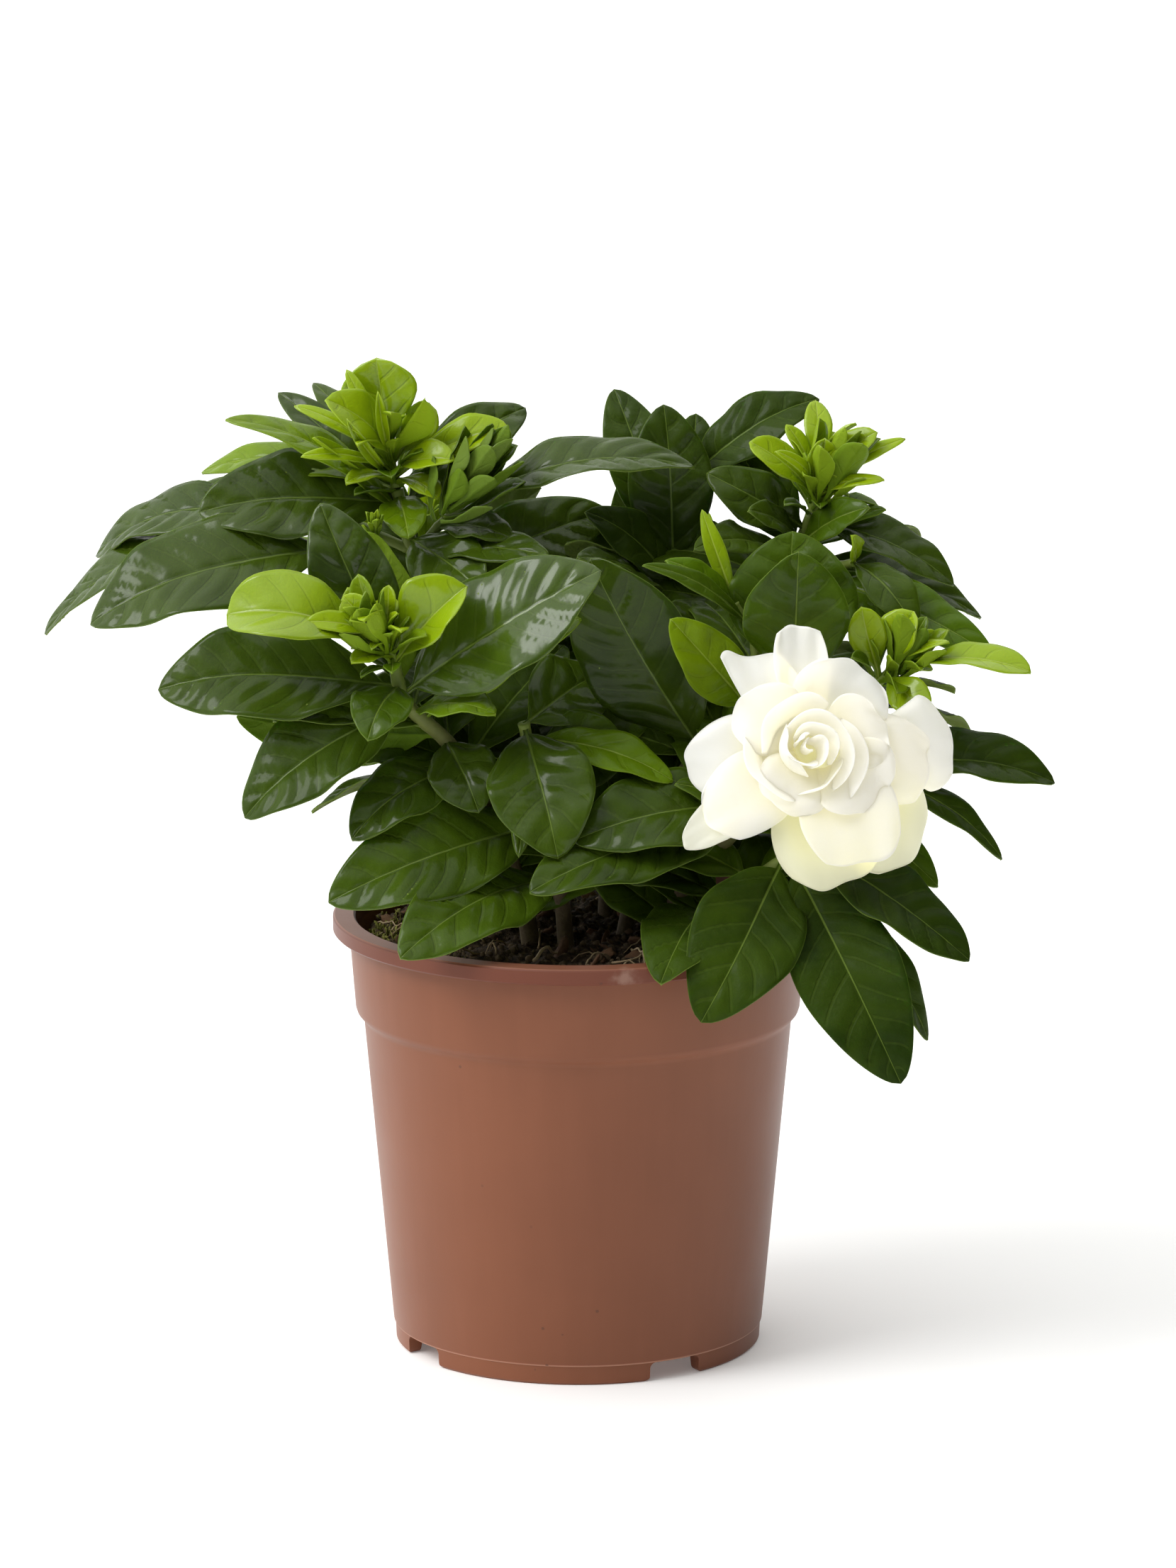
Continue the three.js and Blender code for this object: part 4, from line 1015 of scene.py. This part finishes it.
def makePetalFinish():
    f = Finish("petal", **{
        "Specular IOR Level": 0.3,
        # painted glow: the petals give off light of their own, which lifts their shade
        "Emission Strength": 0.34,
        "Subsurface Weight": 0.8,
        "Subsurface Radius": (1.0, 0.97, 0.8),
        "Subsurface Scale": 0.004,
    })
    # creamier and darker towards each petal's root: partly the flower's own cream, partly painted shade in
    # the hollows
    depth = f.along().fade(0.0, 0.8, 1.0, 0.0)
    base = f.mix(f.mark("tone") * 0.4, petalColours["inner"], petalColours["outer"])
    base = f.mix(depth * 0.55, base, petalColours["deep"])
    base = f.mix(f.mark("fresh"), base, petalColours["fresh"])
    base = f.mix(f.mark("under") * 0.35, base, petalColours["under"])
    f.set("Base Color", base)
    # painted glow in the petal's own colour; the gloss mark holds each petal's share, so the outer petals
    # glow fully and the rest about half
    f.set("Emission Color", f.mix(0.47 - 0.47 * f.mark("gloss"), base, colour(0, 0, 0)))
    f.set("Roughness", 0.5 + 0.12 * f.cloud(300.0, 2.0))
    f.bump(f.cloud(260.0, 2.0) + 0.3 * f.cloud(1500.0, 2.0), 0.15, 0.0004)
    return f


def petalGrid(form):
    return np.linspace(0, 1, form["rows"] + 1)[:, None], np.linspace(-1, 1, form["columns"] + 1)[None, :]


def addPetalSheet(piece, points, rim, u, v, **marks):
    normal = unit(np.cross(np.gradient(points, axis=0), np.gradient(points, axis=1)))
    half = (0.5 * petalForm["thick"] * (1 - 0.7 * rim))[..., None]
    addSheet(piece, points + normal * half, points - normal * half, u, v, tone=luck.random(), **marks)


def addPetal(piece, row, index):
    turn, reach, width, forward, depth, arch, cup, curl, *ends = row
    cornerAt, corner, cornerWidth, blunt, broad, straight, fresh = ends
    form = petalForm
    u, v = petalGrid(form)
    inner = share(u / broad)
    opening = (1 - straight) * np.sin(0.5 * np.pi * inner) ** 1.1 + straight * inner**2.2
    opening = form["claw"] + (1 - form["claw"]) * opening
    t = share((u - broad) / (1 - broad))  # the outer part of the petal is half a disc
    shape = 0.5 * (1 - blunt)
    half = 0.5 * width * opening * np.sqrt(1 - shape * t * t)
    length = reach - form["root"]
    along = form["root"] + length * (np.minimum(u, broad) + (1 - broad) * t * np.sqrt(1 - shape * v * v))
    along = along + corner * np.exp(-(((v - cornerAt) / cornerWidth) ** 2)) * t**3
    along = along + form["scallop"] * (width / 30) ** 2 * np.sin(5 * v + 1.9 * index) * t
    edge = np.minimum(1, (u**8 + np.abs(v) ** 8) ** 0.125)
    rim = share((edge - form["rim"]) / (1 - form["rim"]))
    height = depth + (forward - depth) * u + 4 * arch * u * (1 - u) + cup * half * v * v * (1 - 0.5 * u)
    height = height - curl * rim**2 * (0.6 + 0.4 * np.sin(2.6 * v + 2.3 * index))
    height = height + form["frill"] * np.sin(8 * v + 3 * u + 2.1 * index) * edge**4
    across = half * v + 0.9 * np.sin(2.2 * u + index) * u
    out = around(np.radians(turn))
    side = np.cross(bloomFace, out)
    points = throat + out * along[..., None] + side * across[..., None] + bloomFace * height[..., None]
    paintedGlow = (depth < 1) * (1 - 0.7 * fresh)  # the outer petals get more painted glow
    addPetalSheet(piece, points, rim, u, v, fresh=fresh, gloss=paintedGlow)


def addCoil(piece, row, index):
    turn, sweep, radius, drift, low, high, flare = row
    form = coilForm
    u, v = petalGrid(form)
    wave = form["wave"] * np.sin(6 * v + 2 * index) * u**2
    r = radius * (form["foot"] + (1 - form["foot"]) * u**0.7) - drift * v
    r = r + flare * u**3 * (1 - 0.6 * v**4) + wave
    rise = u * (1 - form["drop"] * np.abs(v) ** 3) + 0.03 * np.sin(7 * v + index) * u
    centre = throat + coilShift[0] * bloomRight + coilShift[1] * bloomUp
    points = centre + around(np.radians(turn + sweep * v)) * r[..., None]
    points = points + bloomFace * (low + (high - low) * rise)[..., None]
    rim = np.maximum(u**5, np.abs(v) ** 7)
    addPetalSheet(piece, points, rim, 0.25 + 0.75 * u, v)


def makeBloom():
    piece = Piece()
    foot = bloomStart + bloomFace * (5 + seatGap)
    places = smoothCurve(foot, throat, throat + bloomFace * cupForm["high"])
    radii = np.linspace(cupForm["from"], cupForm["to"], len(places))
    addTube(piece, places, radii, cupForm["sides"], 0, 0.9)
    for index, row in enumerate(petals):
        addPetal(piece, row, index)
    for index, row in enumerate(coils):
        addCoil(piece, row, index)
    piece.make("bloom_petals", (petalFinish,), "petal", "bloom")


def makeCalyx():
    piece = Piece()
    form = calyxForm
    ahead = unit(bloomStart - point(*shoots["shoot_bloom"]["stems"][0][-2]))
    foot = bloomStart + ahead * seatGap
    places = smoothCurve(foot, foot + 1.2 * ahead, bloomStart + form["high"] * bloomFace)
    addTube(piece, places, np.linspace(form["from"], form["to"], len(places)), form["sides"], 1, 1.0)
    away, up = form["seat"]
    for i in range(form["sepals"]):
        out = around(i * 2 * math.pi / form["sepals"] + form["turn"])
        root = bloomStart + up * bloomFace + away * out
        tip = root + form["length"] * out + form["forward"] * bloomFace
        sepal = bladeForm(form["length"], form["width"], -8, 6, i, young)
        addBlade(piece, root, tip, bloomFace - 0.3 * out, sepal, fresh=0.7, tone=0.5)
    piece.make("calyx_sepals", (leafFinish, stemFinish), "calyx", "calyx")


petalFinish = makePetalFinish()
makeBloom()
makeCalyx()
print("bloom opened")


# The pot

# The outline runs up the outside of the pot and down its inside: radius and height.
potShape = {
    "sides": 180,
    "outline": [
        (41.8, 0), (44.3, 0), (44.9, 0.6), (45.1, 4.75), (45.35, 4.9), (45.5, 5.2), (52.45, 81.2),
        (52.7, 82.0), (53.5, 82.9), (54.2, 83.7), (54.5, 84.6), (56.0, 103.1), (56.3, 103.5),
        (59.5, 103.5), (60, 104), (60, 107), (59.5, 107.5), (55.0, 107.5), (54.5, 107.0), (53.0, 84),
        (51, 81), (44.0, 7.6), (43.2, 7), (4, 7), (4, 5), (40.8, 5),
    ],
    "feet": 4,
    "footTurn": -103,
    "notchHalf": 7,
    "notchTop": 4.7,
    "notchRound": 1.5,
    "notchReach": (35, 50),
    "footRound": 1.3,
    "drainRadius": 4,
    "drainRing": 27,
    "drainReach": (3, 9),
    "sharp": 32,
}
potColours = {
    "body": colour(128, 76, 50),
    "cloud": colour(121, 71, 46),
    "streak": colour(156, 98, 72),
    "seam": colour(196, 146, 122),
    "band": colour(103, 53, 36),
    # painted light on the upward face of the rim
    "top": colour(150, 102, 78),
    "scuff": colour(196, 168, 150),
    "speck": colour(78, 50, 38),
}


def turned(profile, sides):  # the rings of points of a turned body
    angle = np.arange(sides) * 2 * math.pi / sides
    rings = [np.stack([r * np.cos(angle), r * np.sin(angle), np.full(sides, h)], -1) for r, h in profile]
    return np.concatenate(rings)


def addCutter(name, rings):  # a closed body from rings of points
    points = np.concatenate(rings) * mm + potAxis
    count = len(rings[0])
    ends = [list(range(count))[::-1], list(range(len(points) - count, len(points)))]
    mesh = bpy.data.meshes.new(name)
    mesh.from_pydata(points.tolist(), [], ends + ringFaces(len(rings), count).tolist())
    shape = bmesh.new()
    shape.from_mesh(mesh)
    bmesh.ops.recalc_face_normals(shape, faces=shape.faces)
    shape.to_mesh(mesh)
    shape.free()
    return addObject(name, mesh)


def cutAway(piece, cutters):
    for cutter in cutters:
        change = piece.modifiers.new("cut", "BOOLEAN")
        change.object = cutter
        change.solver = "EXACT"
    bpy.context.view_layer.update()
    shaped = bpy.data.meshes.new_from_object(piece.evaluated_get(bpy.context.evaluated_depsgraph_get()))
    piece.modifiers.clear()
    old = piece.data
    piece.data = shaped
    shaped.name = old.name
    bpy.data.meshes.remove(old)
    for cutter in cutters:
        bpy.data.meshes.remove(cutter.data)


def makePotFinish():
    f = Finish("pot_plastic", **{"Specular IOR Level": 0.3})
    height = f.node("ShaderNodeSeparateXYZ", {}, {0: f.place()}).out("Z")
    body = f.mix(f.cloud(18.0, 3.0).fade(0.3, 0.7), potColours["body"], potColours["cloud"])
    stretched = f.vector("MULTIPLY", f.place(), (1, 1, 0.04))
    streaks = f.cloud(220.0, 3.0, stretched).fade(0.35, 0.75, 0.0, 0.05)
    seam = height.fade(0.0046, 0.0048) * height.fade(0.0050, 0.0053, 1.0, 0.0)
    band = height.fade(0.1030, 0.1036)
    scuffAt = Vector((potAxis[0] + 0.0115, potAxis[1] - 0.059, 0.1052))
    far = f.vector("LENGTH", f.vector("SUBTRACT", f.place(), scuffAt))
    scuff = (far + 0.006 * f.cloud(500.0, 3.0)).fade(0.003, 0.007, 1.0, 0.0) * band
    specks = f.cells(170.0).fade(0.05, 0.085, 1.0, 0.0) * f.cloud(60.0, 2.0).fade(0.56, 0.62)
    layers = {
        "streak": streaks,
        "seam": seam * 0.55,
        "band": band * 0.9,
        # painted light: the rim's top face is painted lighter
        "top": height.fade(0.10715, 0.1074) * 0.4,
        "scuff": scuff * 0.25,
        "speck": specks * 0.6,
    }
    for name, cover in layers.items():
        body = f.mix(cover, body, potColours[name])
    f.set("Base Color", body)
    f.set("Roughness", 0.36 + 0.12 * f.cloud(40.0, 6.0))
    f.bump(f.cloud(90.0, 3.0) + 0.15 * f.cloud(1600.0, 2.0), 0.12, 0.0005)
    return f


def notchProfile():  # across and up: a round-topped arch between two rounded feet
    half, top = potShape["notchHalf"], potShape["notchTop"]
    inner, outer = potShape["notchRound"], potShape["footRound"]
    corner = [math.radians(a) for a in range(0, 91, 15)]
    foot = [(half + outer - outer * math.sin(a), outer - outer * math.cos(a)) for a in corner]
    arch = [(half - inner + inner * math.cos(a), top - inner + inner * math.sin(a)) for a in corner]
    flank = [(half + outer, -1), *foot, *arch]
    return [*[(-s, z) for s, z in flank], *reversed(flank)]


def makePot():
    piece = Piece()
    sides, profile = potShape["sides"], potShape["outline"]
    piece.add(turned(profile, sides), ringFaces(len(profile), sides, True))
    pot = piece.make("pot_body", (potFinish,), "pot_plastic", "pot")
    feet = [potShape["footTurn"] + i * 360 / potShape["feet"] for i in range(potShape["feet"])]
    cutters = []
    for turn in feet:
        out = toward(math.radians(turn + 180 / potShape["feet"]))
        side = point(-out[1], out[0], 0)
        section = np.array([side * s + point(0, 0, z) for s, z in notchProfile()])
        rings = [section + out * r for r in potShape["notchReach"]]
        cutters.append(addCutter("notch", rings))
    circle = turned([(potShape["drainRadius"], 0)], 24)
    for turn in feet:
        centre = potShape["drainRing"] * toward(math.radians(turn))
        rings = [circle + centre + point(0, 0, z) for z in potShape["drainReach"]]
        cutters.append(addCutter("drain", rings))
    cutAway(pot, cutters)
    for polygon in pot.data.polygons:
        polygon.use_smooth = True
    pot.data.set_sharp_from_angle(angle=math.radians(potShape["sharp"]))


potFinish = makePotFinish()
makePot()
print("pot turned")


# The soil and what lies on it

# The ball is the side of the root ball, from its middle below: radius and height.
soilShape = {
    "sides": 144,
    "rings": 46,
    "edge": 53.0,
    "edgeHeight": 98.2,
    "slope": 0.07,
    "top": 101.9,
    "mound": 1.0,
    "ball": [(0.02, 7.3), (43.3, 7.3), (50.3, 81), (52.3, 84.2), (53.0, 96.5)],
}
litter = {
    "crumbs": 900,
    "crumbSize": (0.35, 1.0),
    "lumps": 0.12,
    "flakes": 70,
    "flakeSize": (1.3, 2.8),
    "roots": 46,
    "rootLength": (4, 15),
    "mossLeaves": 420,
    "reach": 51,
}

# Where moss grows: how far out and the angle.
mossPlaces = [
    (47, 3.05), (44, 3.25), (49, -2.95), (46, 2.85), (43, -2.85), (48, 3.2), (46, -2.35),
    (49, -2.2), (44, -2.6), (48, -1.75), (47, -1.2), (45, -0.6), (47, 2.4), (42, 3.1),
]

# Single roots and straws: from x y, to x y, radius, how high the middle stands.
laidRoots = [
    (-10.5, -37, -3.5, -23, 0.5, 1.6),
    (13, -20, 17, -44, 0.35, 2.2),
    (11, -37, 20, -31, 0.3, 1.4),
    (15, -46, 22, -40, 0.3, 0.8),
    (2, -34, 8, -26, 0.25, 1.2),
    (-44, 4, -49, -8, 0.3, 1.0),
    (-50, 6, -41, -2, 0.25, 1.5),
]

# Single pieces of bark: x y, size, stretch.
laidBark = [
    (-4, -25, 4.2, (1, 0.5, 0.35)),
    (3.5, -41, 3.4, (1, 0.45, 0.16)),
    (24, -36, 3.0, (1, 0.5, 0.2)),
    (-46, -3, 2.6, (1, 0.6, 0.25)),
]


def soilHeight(x, y):
    mound = soilShape["mound"] * (1 - (math.hypot(x, y) / 55) ** 2)
    swell = 0.8 * math.sin(0.31 * x + 1) * math.cos(0.27 * y) + 0.5 * math.sin(0.7 * x - 0.6 * y)
    here = Vector((x, y, 0.0))
    rough = 1.3 * noise.noise(here * 0.22) + 0.9 * noise.noise(here * 0.6) + 0.45 * noise.noise(here * 1.5)
    return soilShape["top"] + mound + swell + rough


def onSoil(x, y, up):
    return point(x, y, soilHeight(x, y) + up)


def scattered(radius, angle, up):  # a place on the soil, from how far out it is and the angle
    return onSoil(radius * math.cos(angle), radius * math.sin(angle), up)


def makeSoilFinish():
    f = Finish("soil", **{"Specular IOR Level": 0.25})
    grain = f.cloud(700.0, 6.0)
    base = f.ramp(grain, (0.3, colour(28, 21, 15)), (0.55, colour(68, 54, 41)), (0.75, colour(122, 102, 74)))
    fleck = f.cells(420.0).fade(0.1, 0.16, 1.0, 0.0) * f.cloud(120.0, 2.0).fade(0.5, 0.6)
    f.set("Base Color", f.mix(fleck * 0.5, base, colour(118, 96, 66)))
    f.set("Roughness", 0.85 + 0.1 * grain)
    f.bump(grain + 0.5 * f.cloud(2400.0, 3.0), 0.9, 0.0008)
    return f


def makeLitterFinish(name, light, dark, rough):
    f = Finish(name, **{"Specular IOR Level": 0.3})
    f.set("Base Color", f.mix(f.cloud(900.0, 4.0) * 0.6 + 0.4 * f.mark("tone"), dark, light))
    f.set("Roughness", rough + 0.1 * f.cloud(500.0, 2.0))
    f.bump(f.cloud(1800.0, 4.0), 0.6, 0.0004)
    return f


def makeSoil():
    piece = Piece()
    sides, edge, slope = soilShape["sides"], soilShape["edge"], soilShape["slope"]
    profile = soilShape["ball"] + [(r, 0) for r in edge * np.linspace(1, 0.012, soilShape["rings"])]
    points = turned(profile, sides)
    for p in points[len(soilShape["ball"]) * sides:]:
        near = 1 - share((math.hypot(p[0], p[1]) / edge - 1 + slope) / slope)
        p[2] = soilShape["edgeHeight"] * (1 - near) + soilHeight(p[0], p[1]) * near
    piece.add(points, ringFaces(len(profile), sides, True))
    piece.make("soil_body", (soilFinish,), "soil", "soil")


def grainShape():
    shape = bmesh.new()
    bmesh.ops.create_icosphere(shape, subdivisions=2, radius=1)
    points = np.array([v.co for v in shape.verts])
    faces = np.array([[v.index for v in f.verts] for f in shape.faces])
    shape.free()
    return points, faces


def addGrain(piece, centre, size, stretch, finish):
    points, faces = grainMesh
    turn = Vector((luck.random() - 0.5, luck.random() - 0.5, luck.random() - 0.5)).normalized()
    spin = np.array(Vector((0, 0, 1)).rotation_difference(turn).to_matrix())
    shift = Vector((luck.uniform(0, 90), luck.uniform(0, 90), 0))
    swell = np.array([1 + 0.5 * noise.noise(Vector(p) * 1.3 + shift) for p in points])
    points = (points * swell[:, None] * size * point(*stretch)) @ spin.T + centre
    piece.add(points, faces, finish, tone=luck.random())


def makeCrumbs():
    piece = Piece()
    for _ in range(litter["crumbs"]):
        radius = litter["reach"] * math.sqrt(luck.random())
        size = luck.uniform(*litter["crumbSize"]) * (1.5 if luck.random() < litter["lumps"] else 1)
        place = scattered(radius, luck.uniform(0, 2 * math.pi), 0.1 * size)
        addGrain(piece, place, size, (1, luck.uniform(0.7, 1), luck.uniform(0.6, 1)), 0)
    for _ in range(litter["flakes"]):
        radius = (litter["reach"] - 2) * math.sqrt(luck.random())
        place = scattered(radius, luck.uniform(0, 2 * math.pi), 0.5)
        addGrain(piece, place, luck.uniform(*litter["flakeSize"]), (1, luck.uniform(0.4, 0.8), 0.22), 1)
    for x, y, size, stretch in laidBark:
        addGrain(piece, onSoil(x, y, 0.5), size, stretch, 1)
    piece.make("soil_crumbs", (crumbFinish, barkFinish), "soil")


def makeRoots():
    piece = Piece()
    t = np.linspace(0, 1, 13)
    for fromX, fromY, toX, toY, radius, high in laidRoots:
        x, y = fromX + (toX - fromX) * t, fromY + (toY - fromY) * t + 0.8 * np.sin(5 * t)
        z = [soilHeight(*p) + 0.6 for p in zip(x, y)] + high * np.sin(np.pi * t)
        addTube(piece, np.stack([x, y, z], -1), radius * (1 - 0.5 * t), 8, 0, 0.0, 0.95)
    steps = 8
    for _ in range(litter["roots"]):
        radius = luck.uniform(20, litter["reach"] - 1)
        angle, turn = luck.uniform(0, 2 * math.pi), luck.uniform(0, 2 * math.pi)
        length = luck.uniform(*litter["rootLength"])
        bend = luck.uniform(-1.2, 1.2)
        places = []
        x, y = radius * math.cos(angle), radius * math.sin(angle)
        for k in range(steps + 1):
            if math.hypot(x, y) < litter["reach"]:
                places.append(onSoil(x, y, 0.7 + 1.4 * math.sin(k * 0.5)))
            turn += bend / steps
            x += math.cos(turn) * length / steps
            y += math.sin(turn) * length / steps
        if len(places) > 3:
            radii = np.linspace(luck.uniform(0.16, 0.34), 0.1, len(places))
            addTube(piece, np.array(places), radii, 6, 0, 0.0, luck.random())
    piece.make("soil_roots", (rootFinish,), "soil")


def makeMoss():
    piece = Piece()
    fine = {"rows": 4, "halves": 1, "stalk": 0.15, "thick": 0.2, "quilt": 0, "groove": 0, "keel": 0}
    for _ in range(litter["mossLeaves"]):
        radius, angle = luck.choice(mossPlaces)
        place = scattered(min(50.5, radius + luck.gauss(0, 2.0)), angle + luck.gauss(0, 0.07), -0.2)
        lean = point(luck.gauss(0, 0.6), luck.gauss(0, 0.6), 1)
        tip = place + unit(lean) * luck.uniform(1.0, 2.4)
        form = bladeForm(3, 0.8, 5, 10, 0, young) | fine
        look = point(luck.random() - 0.5, luck.random() - 0.5, 0.3)
        addBlade(piece, place, tip, look, form, tone=luck.random())
    piece.make("soil_moss", (mossFinish,), "soil")


grainMesh = grainShape()
soilFinish = makeSoilFinish()
crumbFinish = makeLitterFinish("soil_crumb", colour(108, 90, 66), colour(34, 26, 19), 0.85)
barkFinish = makeLitterFinish("bark_flake", colour(120, 88, 60), colour(60, 42, 30), 0.75)
rootFinish = makeLitterFinish("root", colour(190, 170, 136), colour(120, 96, 66), 0.7)
mossFinish = makeLitterFinish("moss", colour(150, 148, 70), colour(76, 76, 34), 0.8)
makeSoil()
makeCrumbs()
makeRoots()
makeMoss()
print("soil laid")


# The floor, the lights and the camera

studio = {
    "floor": 14.0,
    "glow": 0.12,
    "sky": {"to": (-0.55, 0.35, 0.75), "fade": (-0.05, 0.7), "strength": (0.02, 1.5)},
    "lamps": {  # from where, how soft and how strong
        "key": ((-0.85, -0.4, 0.95), 30, 1.6),
        "fill": ((0.2, -0.8, 0.6), 60, 0.14),
    },
    "camera": {"back": 2.0673, "up": 0.604, "right": 0.0025, "down": 0.221, "lens": 199.2},
}


def makeFloor():
    half = studio["floor"] / 2
    mesh = bpy.data.meshes.new("floor")
    corners = [(half * x, half * y, 0) for x, y in ((-1, -1), (1, -1), (1, 1), (-1, 1))]
    mesh.from_pydata(corners, [], [(0, 1, 2, 3)])
    floor = addObject("floor", mesh)
    f = Finish("floor", **{
        "Specular IOR Level": 0.2,
        "Emission Color": (1, 1, 1, 1),
        "Emission Strength": studio["glow"],
    })
    f.set("Base Color", f.mix(f.cloud(3.0, 2.0), colour(244, 244, 242), colour(248, 248, 247)))
    f.set("Roughness", 0.7 + 0.05 * f.cloud(8.0, 2.0))
    mesh.materials.append(f.material)


def makeLamp(name, start, soft, power):
    data = bpy.data.lights.new(name, "SUN")
    data.angle = math.radians(soft)
    data.energy = power
    lamp = addObject(name, data)
    lamp.location = start
    lamp.rotation_euler = (-Vector(start)).to_track_quat("-Z", "Y").to_euler()


def makeSky():  # white walls behind and to the left, a dim room in front
    light = studio["sky"]
    world = bpy.data.worlds.new("sky")
    sky = Recipe(world)
    facing = sky.vector("DOT_PRODUCT", sky.place("Generated"), Vector(light["to"]).normalized())
    strength = facing.fade(*light["fade"], *light["strength"])
    white = sky.node("ShaderNodeBackground", {}, {"Color": (1, 1, 1, 1), "Strength": strength})
    sky.node("ShaderNodeOutputWorld", {}, {"Surface": white})
    bpy.context.scene.world = world


def makeCamera():
    view = studio["camera"]
    data = bpy.data.cameras.new("camera")
    data.lens = view["lens"]
    data.sensor_width = 36
    data.clip_end = 60
    camera = addObject("camera", data)
    camera.location = (potAxis[0] + view["right"], potAxis[1] - view["back"], view["up"])
    camera.rotation_euler = (math.pi / 2 - view["down"], 0, 0)
    bpy.context.scene.camera = camera


makeFloor()
for name, lamp in studio["lamps"].items():
    makeLamp(name, *lamp)
makeSky()
makeCamera()
bpy.context.scene.view_settings.view_transform = "Standard"
print("studio lit")
